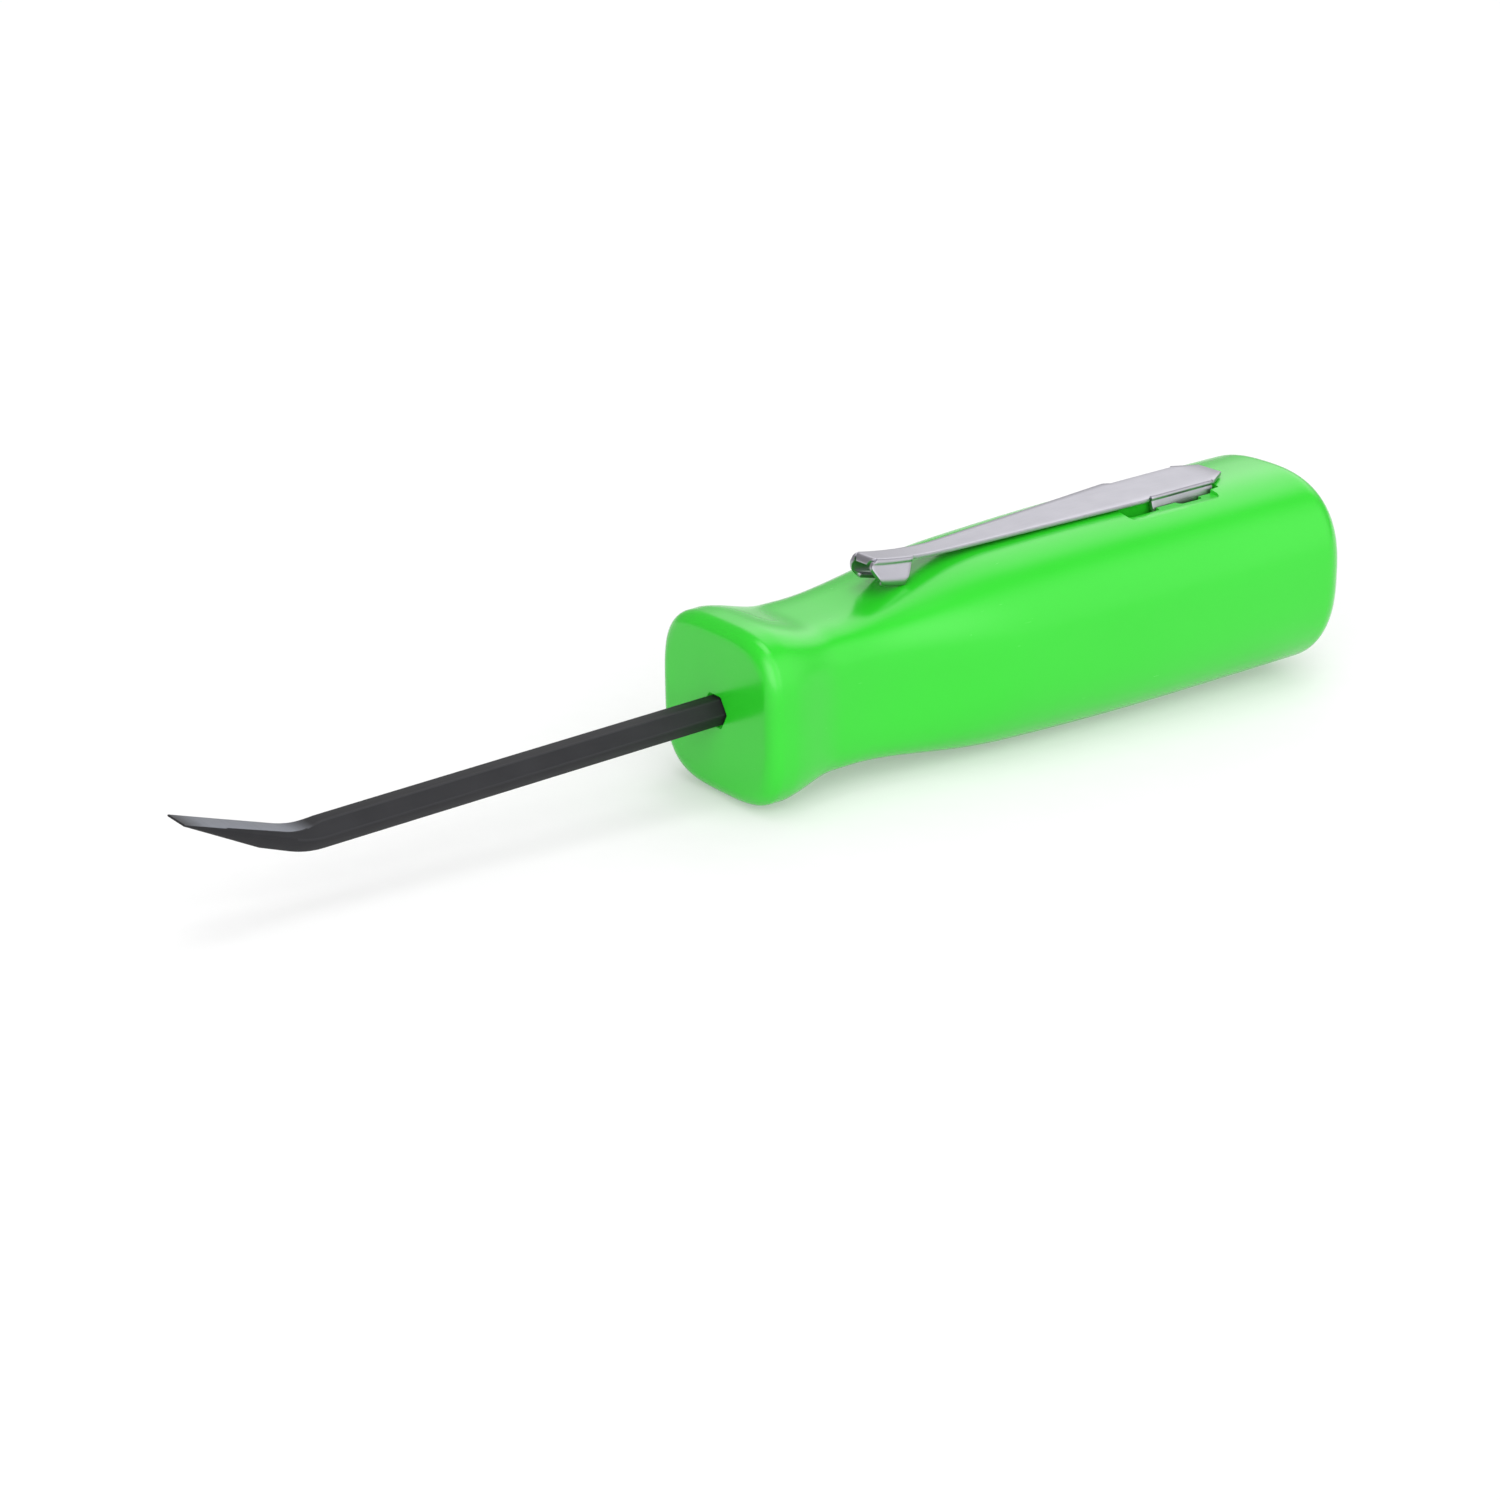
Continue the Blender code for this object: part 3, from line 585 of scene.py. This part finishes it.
def ground_and_painted_tip_shade(point, face, mesh):
    """1 on the ground top of the chisel, fading into the bend; towards the thin edge it fades
    back to black as painted shade over the chisel's last millimetres.
    """
    bend_reach = STRAIGHT_LENGTH + BEND_RADIUS * math.sin(math.radians(BEND_DEG))
    past_bend = -point.x - bend_reach
    to_edge = TIP_LENGTH * math.cos(math.radians(BEND_DEG)) - past_bend
    if face.normal.z < 0.75 or past_bend < -GRIND_FADE_START:
        return 0.0
    grown = min(1.0, (past_bend + GRIND_FADE_START) / GRIND_FADE_LENGTH)
    # painted shade: the ground steel fades back to black over the last millimetres before the
    # chisel edge
    return grown * min(1.0, 0.1 + to_edge / TIP_PAINTED_SHADE_LENGTH)


def broken_edge(point, face, mesh):
    """1 on the narrow faces that break the bar's edges, where the black wears first."""
    return float(width_of(face, mesh) < BROKEN_EDGE_WIDTH)


bar = new_piece("steel_bar", skin(bar_rings(bar_stations())), 28, black_oxide)
paint_corners(bar.data, "ground", ground_and_painted_tip_shade)
paint_corners(bar.data, "edge", broken_edge)
print("bar faces:", len(bar.data.polygons))

# %% [markdown]
# ## Clip: one stamping, folded from a flat blank
#
# The clip is a strip of spring steel. At the rear two flanges are folded down and plug into
# the handle; the long arm narrows to a neck; and the head has two ears folded down and
# curled under, so that the clip slides over cloth. It is drawn here the way it is made: a
# bare sheet, folded row by row, that gets its thickness at the end. It has a little play in
# its slots, so it sits a touch askew, as it does in the photograph.

# %% Sizes of the clip
STRIP_THICKNESS = 0.4 * MM
SEAT = 0.18 * MM
ARM_WIDTH = 7.0 * MM
ARM_PLAIN_LENGTH = 0.6 * MM
CHANNEL_WIDTH = 6.5 * MM
CHANNEL_LENGTH = 9.0 * MM
FOLD_RADIUS = 0.75 * MM
CHANNEL_END = HANDLE["Length"] - 15.8 * MM
CHANNEL_START = CHANNEL_END - CHANNEL_LENGTH
NOSE_LENGTH = 2.9 * MM
NOSE_SHOULDER = 0.3 * MM
NOSE_SLIT = 0.1 * MM
NOSE_TIP_WIDTH = 3.4 * MM
CLIP_REAR = CHANNEL_END + NOSE_LENGTH
CLIP_FRONT = CLIP_REAR - 49.3 * MM
NECK_X = CLIP_FRONT + 6.2 * MM
NECK_WIDTH = 2.9 * MM
TAPER_END = NECK_X + 3.4 * MM
ARM_START = CHANNEL_START - FOLD_RADIUS
TAPER_START = ARM_START - ARM_PLAIN_LENGTH
HEAD_WIDTH = 3.4 * MM
HEAD_RISE = 1.3 * MM
HEAD_RISE_LENGTH = 11.4 * MM
LIP_LENGTH = 0.9 * MM
LIP_TIP_WIDTH = 1.5 * MM
LIP_DROP = 1.0 * MM
EAR_ROOT = 4.6 * MM
EAR_FRONT_REACH = 0.9 * MM
EAR_FRONT_CUT = 1.1 * MM
EAR_REAR_CUT = 2.1 * MM
EAR_HEEL = 0.7 * MM
EAR_CHEEK_SHARE = 0.3
EAR_HEEL_SHARE = 0.2
CREASE_RADIUS = 0.3 * MM
CREASE_DEG = 118.0
CREASE_RETURN_RADIUS = 0.25 * MM
EAR_LEAN_DEG = 28.0
EAR_CURL_RADIUS = 0.8 * MM
EAR_CURL_DEG = 110.0
FLANGE_DEPTH = 1.6 * MM
FLANGE_HEADING = 74.0
FOOT_DEPTH = 3.1 * MM
FOOT_WIDTH = 1.4 * MM
ASKEW_DEG = 0.8
TUMBLED_EDGE = 0.07 * MM
print("clip length:", round((CLIP_REAR - CLIP_FRONT) / MM, 1), "mm")


# %% Height of the handle under the clip
def hermite(x, a, b, slope_a, slope_b):
    """The same smooth curve as in the tree, as a number."""
    t = min(1.0, max(0.0, (x - a[0]) / (b[0] - a[0])))
    ease = t * t * (3 - 2 * t)
    lean = slope_a * t * (1 - t) ** 2 - slope_b * t * t * (1 - t)
    return ease * (b[1] - a[1]) + (b[0] - a[0]) * lean


def handle_height(x):
    """Half height of the handle at x, between the rim and the dome."""
    rim = (HANDLE["Rim Band End"], HANDLE["Rim Half Height"])
    low = (HANDLE["Waist Start"], HANDLE["Waist Half Height"])
    s, b = HANDLE["Shoulder Slope"], HANDLE["Belly Slope"]
    front = rim[1] + hermite(x, rim, low, HANDLE["Rim Slope"], 0)
    return (front + hermite(x, waist, shoulder, 0, s)
            + hermite(x, shoulder, belly, s, b) + hermite(x, belly, butt, b, 0))


def handle_top(x, y):
    """Height of the handle's surface at x, at y to the side of its middle."""
    rim = (HANDLE["Rim Radius"], HANDLE["Rim Squareness"])
    low = (HANDLE["Waist Start"], HANDLE["Waist Squareness"])
    body = (HANDLE["Shoulder From Front"], HANDLE["Body Squareness"])
    power = rim[1] + hermite(x, rim, low, 0, 0) + hermite(x, low, body, 0, 0)
    wide = handle_height(x) * HANDLE["Width To Height"]
    return handle_height(x) * (1 - (abs(y) / wide) ** power) ** (1 / power)


STRIP_UNDER = max(handle_height(NECK_X + (CLIP_REAR - NECK_X) * k / 60) for k in range(61)) + SEAT
STRIP_TOP = STRIP_UNDER + STRIP_THICKNESS
ARM_SLOPE = min((STRIP_UNDER - SEAT - handle_height(x)) / (CHANNEL_START - x)
                for x in [NECK_X + (CHANNEL_START - NECK_X) * k / 60 for k in range(59)])
print("the arm falls by", round(ARM_SLOPE * (CHANNEL_START - NECK_X) / MM, 3), "mm")


# %% [markdown]
# The strip is described by three rules: how wide it is at each place along the tool, how
# high its top face is there, and how a flange or an ear leaves its edge. A fold is a walk:
# arcs and straight runs, each starting in the direction in which the last one ended.

# %% Outline of the strip
def strip_half_width(x):
    """Half width of the strip's flat, from the nose at the rear to the lip at the front."""
    if x > CHANNEL_END:
        t = max(0.0, (x - CHANNEL_END - NOSE_SHOULDER) / (NOSE_LENGTH - NOSE_SHOULDER))
        return CHANNEL_WIDTH / 2 + (NOSE_TIP_WIDTH - CHANNEL_WIDTH) / 2 * t
    if x > CHANNEL_START - FOLD_RADIUS / 2:
        return CHANNEL_WIDTH / 2 - CREASE_RADIUS
    if x > TAPER_START:
        return ARM_WIDTH / 2
    if x >= NECK_X:
        t = max(0.0, (x - TAPER_END) / (TAPER_START - TAPER_END))
        return NECK_WIDTH / 2 + (ARM_WIDTH - NECK_WIDTH) / 2 * t
    flat = HEAD_WIDTH / 2 - CREASE_RADIUS
    t = max(0.0, 1 - (x - CLIP_FRONT) / LIP_LENGTH)
    return flat + (LIP_TIP_WIDTH / 2 - flat) * t ** 2


def strip_height(x):
    """Top face of the strip: level, then falling along the arm and curving up at the head."""
    if x >= CHANNEL_START:
        return STRIP_TOP
    arm = STRIP_TOP - ARM_SLOPE * (CHANNEL_START - x)
    rise_share = max(0.0, 1 - (x - CLIP_FRONT) / HEAD_RISE_LENGTH)
    drop_share = min(1.0, max(0.0, 1 - (x - CLIP_FRONT) / LIP_LENGTH))
    curl = 1 - math.sqrt(1 - drop_share ** 2)
    return arm + HEAD_RISE * rise_share ** 2 - LIP_DROP * curl


def walk(segments):
    """Points of a fold as (outwards, down), from arcs (radius, degrees) and straight runs."""
    out, down, heading = 0.0, 0.0, 0.0
    points = []
    for radius, amount, steps in segments:
        for _ in range(steps):
            if radius == 0.0:
                out += math.cos(heading) * amount / steps
                down += math.sin(heading) * amount / steps
            else:
                turned = heading + math.radians(amount) / steps
                out += radius * (math.sin(turned) - math.sin(heading))
                down += radius * (math.cos(heading) - math.cos(turned))
                heading = turned
            points.append((out, down))
    return points


# %% Fold the sheet
HEAD_REAR = CLIP_FRONT + LIP_LENGTH + EAR_ROOT
FLANGE_STEPS = [0.0, 0.5 * FOOT_WIDTH, FOOT_WIDTH, CHANNEL_LENGTH / 2,
                CHANNEL_LENGTH - FOOT_WIDTH, CHANNEL_LENGTH - 0.5 * FOOT_WIDTH, CHANNEL_LENGTH]


def spaced(start, end, count):
    """Even steps from start to end, leaving out the start."""
    return [start + (end - start) * k / count for k in range(1, count + 1)]


def crease(heading):
    """A tight fold that tucks a flange just under the strip's edge."""
    return [(CREASE_RADIUS, CREASE_DEG, 8),
            (-CREASE_RETURN_RADIUS, heading - CREASE_DEG, 6)]


def ear_segments():
    """Crease, leaning leg and curl of an ear that ends on the handle."""
    lean = 90.0 - EAR_LEAN_DEG
    curl = [(EAR_CURL_RADIUS, EAR_CURL_DEG, 12)]
    rear = HEAD_REAR - EAR_REAR_CUT
    depth = strip_height(rear) - handle_top(rear, HEAD_WIDTH / 2 - EAR_CURL_RADIUS) - SEAT
    leg = (depth - walk(crease(lean) + curl)[-1][1]) / math.sin(math.radians(lean))
    return crease(lean) + [(0.0, leg, 6)] + curl


def add_rows(bm, rows):
    """Faces between the rows of points of a sheet."""
    for upper, lower in zip(rows, rows[1:]):
        for k in range(len(upper) - 1):
            bm.faces.new((upper[k], upper[k + 1], lower[k + 1], lower[k]))


def add_flange(bm, roots, side):
    """Side flange of the channel: a low lip with a foot at each end."""
    rows = [roots]
    rest = (FLANGE_DEPTH - walk(crease(FLANGE_HEADING))[-1][1]) / math.sin(
        math.radians(FLANGE_HEADING))
    for out, down in walk(crease(FLANGE_HEADING) + [(0.0, rest, 1)]):
        rows.append([bm.verts.new((r.co.x, r.co.y + side * out, r.co.z - down)) for r in roots])
    add_rows(bm, rows)
    drop = Vector((0.0, 0.0, FLANGE_DEPTH - FOOT_DEPTH))
    for start in (0, len(FLANGE_STEPS) - 3):
        lip = rows[-1][start:start + 3]
        add_rows(bm, [lip, [bm.verts.new(v.co + drop) for v in lip]])


def ear_edges(t):
    """How far the front and rear edges of an ear stand from its root, t from root to end."""
    if t < EAR_CHEEK_SHARE:
        front = -EAR_FRONT_REACH * (1 - (1 - t / EAR_CHEEK_SHARE) ** 2)
    else:
        below = (t - EAR_CHEEK_SHARE) / (1 - EAR_CHEEK_SHARE)
        front = -EAR_FRONT_REACH + EAR_FRONT_CUT * below ** 1.2
    heel = EAR_HEEL * max(0.0, (t - (1 - EAR_HEEL_SHARE)) / EAR_HEEL_SHARE)
    return front, heel - EAR_REAR_CUT * t ** 1.3


def add_ear(bm, roots, side):
    """One ear of the head: folded down, cut to its outline and curled under."""
    path = walk(ear_segments())
    front, rear = roots[-1].co.x, roots[0].co.x
    rows = [roots]
    for out, down in path:
        front_shift, rear_shift = ear_edges(down / path[-1][1])
        new_front, new_rear = front + front_shift, rear + rear_shift
        shrink = (new_rear - new_front) / (rear - front)
        rows.append([bm.verts.new((new_front + (r.co.x - front) * shrink,
                                   r.co.y + side * out, r.co.z - down)) for r in roots])
    add_rows(bm, rows)


def clip_sheet():
    """The whole clip as a bare sheet, in the tool's own axes."""
    bm = bmesh.new()
    nose = [CLIP_REAR, CHANNEL_END + NOSE_SHOULDER, CHANNEL_END + NOSE_SLIT]
    channel = [CHANNEL_END - x for x in FLANGE_STEPS]
    arm = [ARM_START]
    taper = [TAPER_START] + spaced(TAPER_START, TAPER_END, 20) + spaced(TAPER_END, NECK_X, 8)
    head = [HEAD_REAR - EAR_ROOT * k / 12 for k in range(13)]
    lip = [CLIP_FRONT + LIP_LENGTH * (1 - math.sin(math.radians(13 * k))) for k in range(1, 7)]
    stations = nose + channel + arm + taper + head + lip
    columns = [k / 4 - 1 for k in range(9)]
    rows = []
    for x in stations:
        half, top = strip_half_width(x), strip_height(x)
        rows.append([bm.verts.new((x, half * t, top)) for t in columns])
    add_rows(bm, rows)
    first_ear = len(stations) - len(lip) - len(head)
    for side, column in ((-1, 0), (1, 8)):
        add_flange(bm, [rows[len(nose) + k][column] for k in range(len(channel))], side)
        add_ear(bm, [rows[first_ear + k][column] for k in range(len(head))], side)
    bmesh.ops.recalc_face_normals(bm, faces=bm.faces[:])
    if sum(face.normal.z for face in bm.faces) < 0:
        bmesh.ops.reverse_faces(bm, faces=bm.faces[:])
    return bm


# %% [markdown]
# ## Finishes: satin nickel on spring steel
#
# The clip is nickel plated and tumbled, so it is bright but satin, with a faintly violet
# grey. The strip was rolled along its length, which leaves very fine lines, and handling
# leaves small soft marks.

# %% Satin nickel
NICKEL = (0.43, 0.42, 0.465, 1.0)
NICKEL_DEEP = (0.36, 0.355, 0.395, 1.0)


def make_satin_nickel():
    finish, tree, shader, place = new_finish("satin nickel")
    rolled = noise(tree, place, 4200.0, 3.0, (0.03, 1.0, 1.0))
    marks = noise(tree, place, 420.0, 4.0)
    nicks = ((noise(tree, place, 1500.0, 2.0) - 0.68) * 8.0).clamp()
    plug(tree, shader.inputs["Base Color"],
         mixed(tree, (marks * 0.7 + nicks * 0.3).clamp(), NICKEL, NICKEL_DEEP))
    plug(tree, shader.inputs["Roughness"], 0.26 + rolled * 0.12 + marks * 0.08)
    plug(tree, shader.inputs["Normal"], bumped(tree, rolled - nicks, 0.3, 0.004 * MM))
    shader.inputs["Metallic"].default_value = 1.0
    return finish


satin_nickel = make_satin_nickel()
print("made", satin_nickel.name)

# %% Thicken the clip
clip = new_piece("spring_clip", clip_sheet(), 40, satin_nickel)
sheet = clip.modifiers.new("strip", "SOLIDIFY")
sheet.thickness = STRIP_THICKNESS
sheet.offset = -1.0
sheet.use_even_offset = True
soft = clip.modifiers.new("tumbled edges", "BEVEL")
soft.width = TUMBLED_EDGE
soft.segments = 2
soft.limit_method = "ANGLE"
soft.angle_limit = math.radians(50)
clip = to_mesh(clip, "spring_clip")
channel_middle = Matrix.Translation((CHANNEL_END - CHANNEL_LENGTH / 2, 0.0, 0.0))
askew = Matrix.Rotation(math.radians(ASKEW_DEG), 4, "Z")
clip.data.transform(TOOL @ channel_middle @ askew @ channel_middle.inverted())
facing_out(clip)
print("clip faces:", len(clip.data.polygons))

# %% [markdown]
# ## Handle: pockets and bore
#
# The clip's flanges sit in narrow slots inside a shallow well. Four deeper drops let the
# feet in before the clip is slid back. The bar sits in its bore. These are cuts with plain
# walls, so Boolean differences are the direct way.

# %% Cut the pockets and the bore
SIDE_GAP = 0.35 * MM
END_GAP = 0.7 * MM
SLOT_FLOOR_GAP, SLOT_CORNER = 0.5 * MM, 0.3 * MM
WELL_LEAD, WELL_WIDTH, WELL_DEPTH, WELL_REAR_WALL = 4.6 * MM, 2.9 * MM, 0.85 * MM, 0.6 * MM
WELL_CORNER = 0.9 * MM
DROP_DEPTH, DROP_INSET, DROP_CORNER = 2.6 * MM, 1.0 * MM, 0.6 * MM
CUTTER_TOP = 1.0 * MM
BORE_END, BORE_GAP, BORE_BREAK, BORE_BREAK_DEPTH = 0.1 * MM, 0.02 * MM, 0.42 * MM, 0.35 * MM


def pocket_cutter(name, outer, start, end, floor, radius):
    """Two pockets with round corners, one on each side of the middle post."""
    inner = CHANNEL_WIDTH / 2 - STRIP_THICKNESS - SIDE_GAP
    roof = STRIP_TOP + CUTTER_TOP
    size = Vector((end - start, outer - inner, roof - floor))
    bm = bmesh.new()
    for side in (-1, 1):
        middle = Vector(((start + end) / 2, side * (inner + outer) / 2, (roof + floor) / 2))
        bmesh.ops.create_cube(bm, size=1.0, matrix=Matrix.Translation(middle)
                              @ Matrix.Diagonal((*size, 1.0)))
    upright = [e for e in bm.edges if abs((e.verts[0].co - e.verts[1].co).z) > size.z * 0.9]
    bmesh.ops.bevel(bm, geom=upright, offset=radius, offset_type="OFFSET", segments=6,
                    profile=0.5, affect="EDGES")
    return new_piece(name, bm, 30, green_plastic)


def bore_cutter():
    """The hexagonal hole that the plastic leaves round the bar, with a broken edge."""
    flat = ACROSS_FLATS / 2
    rings = []
    for x, grow_by in ((TANG_LENGTH + BORE_END, BORE_GAP), (BORE_BREAK_DEPTH, BORE_GAP),
                       (-0.15 * MM, BORE_BREAK)):
        rings += bar_rings([(Vector((x, 0.0)), 0.0, flat, flat)], grow_by)
    return new_piece("bore_cutter", skin(rings), 30, green_plastic)


def cut_away(item, cutters):
    """Subtract the cutters from an object and return the result as a plain mesh object."""
    for cutter in cutters:
        boolean = item.modifiers.new(cutter.name, "BOOLEAN")
        boolean.operation = "DIFFERENCE"
        boolean.solver = "EXACT"
        boolean.object = cutter
    result = to_mesh(item, item.name)
    for cutter in cutters:
        bpy.data.objects.remove(cutter, do_unlink=True)
    return result


slots = pocket_cutter("slot_cutter", CHANNEL_WIDTH / 2 + SIDE_GAP, CHANNEL_START - END_GAP,
                      CHANNEL_END + END_GAP, STRIP_TOP - FOOT_DEPTH - SLOT_FLOOR_GAP,
                      SLOT_CORNER)
WELL_OUTER = CHANNEL_WIDTH / 2 - STRIP_THICKNESS - SIDE_GAP + WELL_WIDTH
WELL_START = CHANNEL_START - WELL_LEAD
wells = pocket_cutter("well_cutter", WELL_OUTER, WELL_START, CHANNEL_END - WELL_REAR_WALL,
                      STRIP_UNDER - WELL_DEPTH, WELL_CORNER)
front_drops = pocket_cutter("front_drop_cutter", WELL_OUTER - DROP_INSET,
                            WELL_START + 0.4 * MM, CHANNEL_START + 0.4 * MM,
                            STRIP_UNDER - DROP_DEPTH, DROP_CORNER)
rear_drops = pocket_cutter("rear_drop_cutter", WELL_OUTER - DROP_INSET,
                           CHANNEL_START + 3.2 * MM, CHANNEL_START + 6.6 * MM,
                           STRIP_UNDER - DROP_DEPTH, DROP_CORNER)
handle = cut_away(handle, [bore_cutter(), slots, wells, front_drops, rear_drops])
handle.data.shade_smooth()
handle.data.set_sharp_from_angle(angle=math.radians(38))
handle.data.transform(TOOL)
bar.data.transform(TOOL)
print("handle faces after the cuts:", len(handle.data.polygons))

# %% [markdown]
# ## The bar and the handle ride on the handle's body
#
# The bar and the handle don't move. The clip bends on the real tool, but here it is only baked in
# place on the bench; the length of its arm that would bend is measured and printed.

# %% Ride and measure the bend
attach(handle, "handle")
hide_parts("handle")
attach(bar, "handle")
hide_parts("pry_blade")
bend_start = TOOL @ Vector((CHANNEL_START - 1.0 * MM, 0, STRIP_UNDER))
bend_end = TOOL @ Vector((NECK_X + 8.0 * MM, 0, STRIP_UNDER))
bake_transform(clip)
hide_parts("pocket_clip")
print("the arm bends over", round((bend_start - bend_end).length / MM, 1), "mm")

# %% [markdown]
# ## Floor and light
#
# The photograph was taken in a light tent: a white floor and white walls all round, lit most
# on the camera's side and behind the butt. The walls are painted on the sky as an even level
# with soft bright patches, which is what the handle's sides and the clip mirror. One softbox
# hangs straight above: the bar's faint shadow lies right below it in the photograph.

# %% Pale floor with a painted glow: its emission lightens the shade and the green bounce round the tool
FLOOR_PAINTED_GLOW = 0.29
FLOOR_REACH = 2.5
FLOOR_DROP = 0.02 * MM


def make_floor():
    bm = bmesh.new()
    bmesh.ops.create_grid(bm, x_segments=4, y_segments=4, size=FLOOR_REACH)
    finish, tree, shader, place = new_finish("pale floor")
    grain = noise(tree, place, 300.0, 3.0)
    plug(tree, shader.inputs["Base Color"],
         mixed(tree, grain.clamp(), (0.54, 0.54, 0.54, 1.0), (0.56, 0.56, 0.56, 1.0)))
    # painted light: the floor glows though it is no lamp, which lifts its shadows evenly
    shader.inputs["Emission Color"].default_value = (1.0, 1.0, 1.0, 1.0)
    shader.inputs["Emission Strength"].default_value = FLOOR_PAINTED_GLOW
    shader.inputs["Roughness"].default_value = 0.8
    shader.inputs["Specular IOR Level"].default_value = 0.2
    floor = new_piece("floor", bm, 30, finish)
    floor.data.transform(Matrix.Translation((0, 0, -FLOOR_DROP)))


make_floor()


# %% Light tent
# Each patch: direction, angles of its edge and its core in degrees, and strength. They are
# behind the butt, at the back, left of the nose, above the camera and right of the camera.
TENT_LEVEL = 0.40
TENT_LOBES = [
    ((0.66, 0.43, 0.62), 32, 10, 1.4),
    ((0.58, 0.74, 0.22), 40, 8, 0.15),
    ((-0.80, -0.56, 0.22), 42, 12, 1.8),
    ((-0.35, -0.78, 0.45), 55, 25, 1.65),
    ((0.50, -0.75, 0.35), 45, 12, 1.0),
]


def make_tent(level, lobes):
    """Sky of one even level with soft lobes: (direction, edge and core angles, strength)."""
    tent = bpy.data.worlds.new("light tent")
    tent.use_nodes = True
    tree = tent.node_tree
    direction = add_node(tree, "ShaderNodeTexCoord").outputs["Generated"]
    total = level
    for towards, edge, core, strength in lobes:
        aim = add_node(tree, "ShaderNodeVectorMath", {"operation": "DOT_PRODUCT"},
                       _0=direction, _1=Vector(towards).normalized())
        share = stretch(Value(tree, aim.outputs["Value"]),
                        math.cos(math.radians(edge)), math.cos(math.radians(core)))
        total = share * share * (3.0 - share * 2.0) * strength + total
    sky = tree.nodes["Background"]
    sky.inputs["Color"].default_value = (1.0, 1.0, 1.0, 1.0)
    plug(tree, sky.inputs["Strength"], total)
    bpy.context.scene.world = tent


make_tent(TENT_LEVEL, TENT_LOBES)
print("bright patches in the tent:", len(TENT_LOBES))


# %% One softbox straight above
def softbox(name, place, target, size, watts):
    """Large rectangular lamp that points at a target and isn't seen itself."""
    data = bpy.data.lights.new(name, "AREA")
    data.shape = "RECTANGLE"
    data.size, data.size_y = size
    data.energy = watts
    lamp = bpy.data.objects.new(name, data)
    lamp.location = place
    lamp.rotation_euler = (Vector(target) - Vector(place)).to_track_quat("-Z", "Y").to_euler()
    lamp.visible_camera = False
    bpy.context.scene.collection.objects.link(lamp)


softbox("overhead softbox", (0.0, 0.0, 1.2), (0.0, 0.0, 0.0), (0.7, 0.7), 4.2)
bpy.context.scene.view_settings.view_transform = "Standard"
print("lights:", [item.name for item in bpy.data.lights])

# %% [markdown]
# ## Camera
#
# The camera's place was found by fitting the handle's outline in the photograph. It is
# given in the tool's own axes as three turns and an offset, and is brought to the bench
# with the same matrix as the tool.

# %% Camera from the fitted view
AZIMUTH, ELEVATION, ROLL = 36.905, 21.915, -0.884
OFFSET = Vector((-3.4567, -3.9032, 325.38)) * MM
FOCAL_PIXELS = 3300.0
PHOTO_PIXELS = 1500.0


def photo_camera():
    az, el, roll = (math.radians(a) for a in (AZIMUTH, ELEVATION, ROLL))
    back = Vector((-math.sin(az) * math.cos(el), -math.cos(az) * math.cos(el), math.sin(el)))
    right = (-back).cross(Vector((0, 0, 1))).normalized()
    up = right.cross(-back)
    right, up = (right * math.cos(roll) + up * math.sin(roll),
                 up * math.cos(roll) - right * math.sin(roll))
    place = -(right * OFFSET.x - up * OFFSET.y - back * OFFSET.z)
    axes = Matrix((right, up, back)).transposed().to_4x4()
    data = bpy.data.cameras.new("photo camera")
    data.sensor_width = 36.0
    data.lens = FOCAL_PIXELS / PHOTO_PIXELS * data.sensor_width
    data.clip_start, data.clip_end = 0.01, 10.0
    camera = bpy.data.objects.new("photo camera", data)
    camera.matrix_world = TOOL @ Matrix.Translation(place) @ axes
    bpy.context.scene.collection.objects.link(camera)
    bpy.context.scene.camera = camera
    return camera


print("camera stands", round(photo_camera().matrix_world.translation.length, 3), "m away")

# %% Bring the scene up to date
bpy.context.view_layer.update()
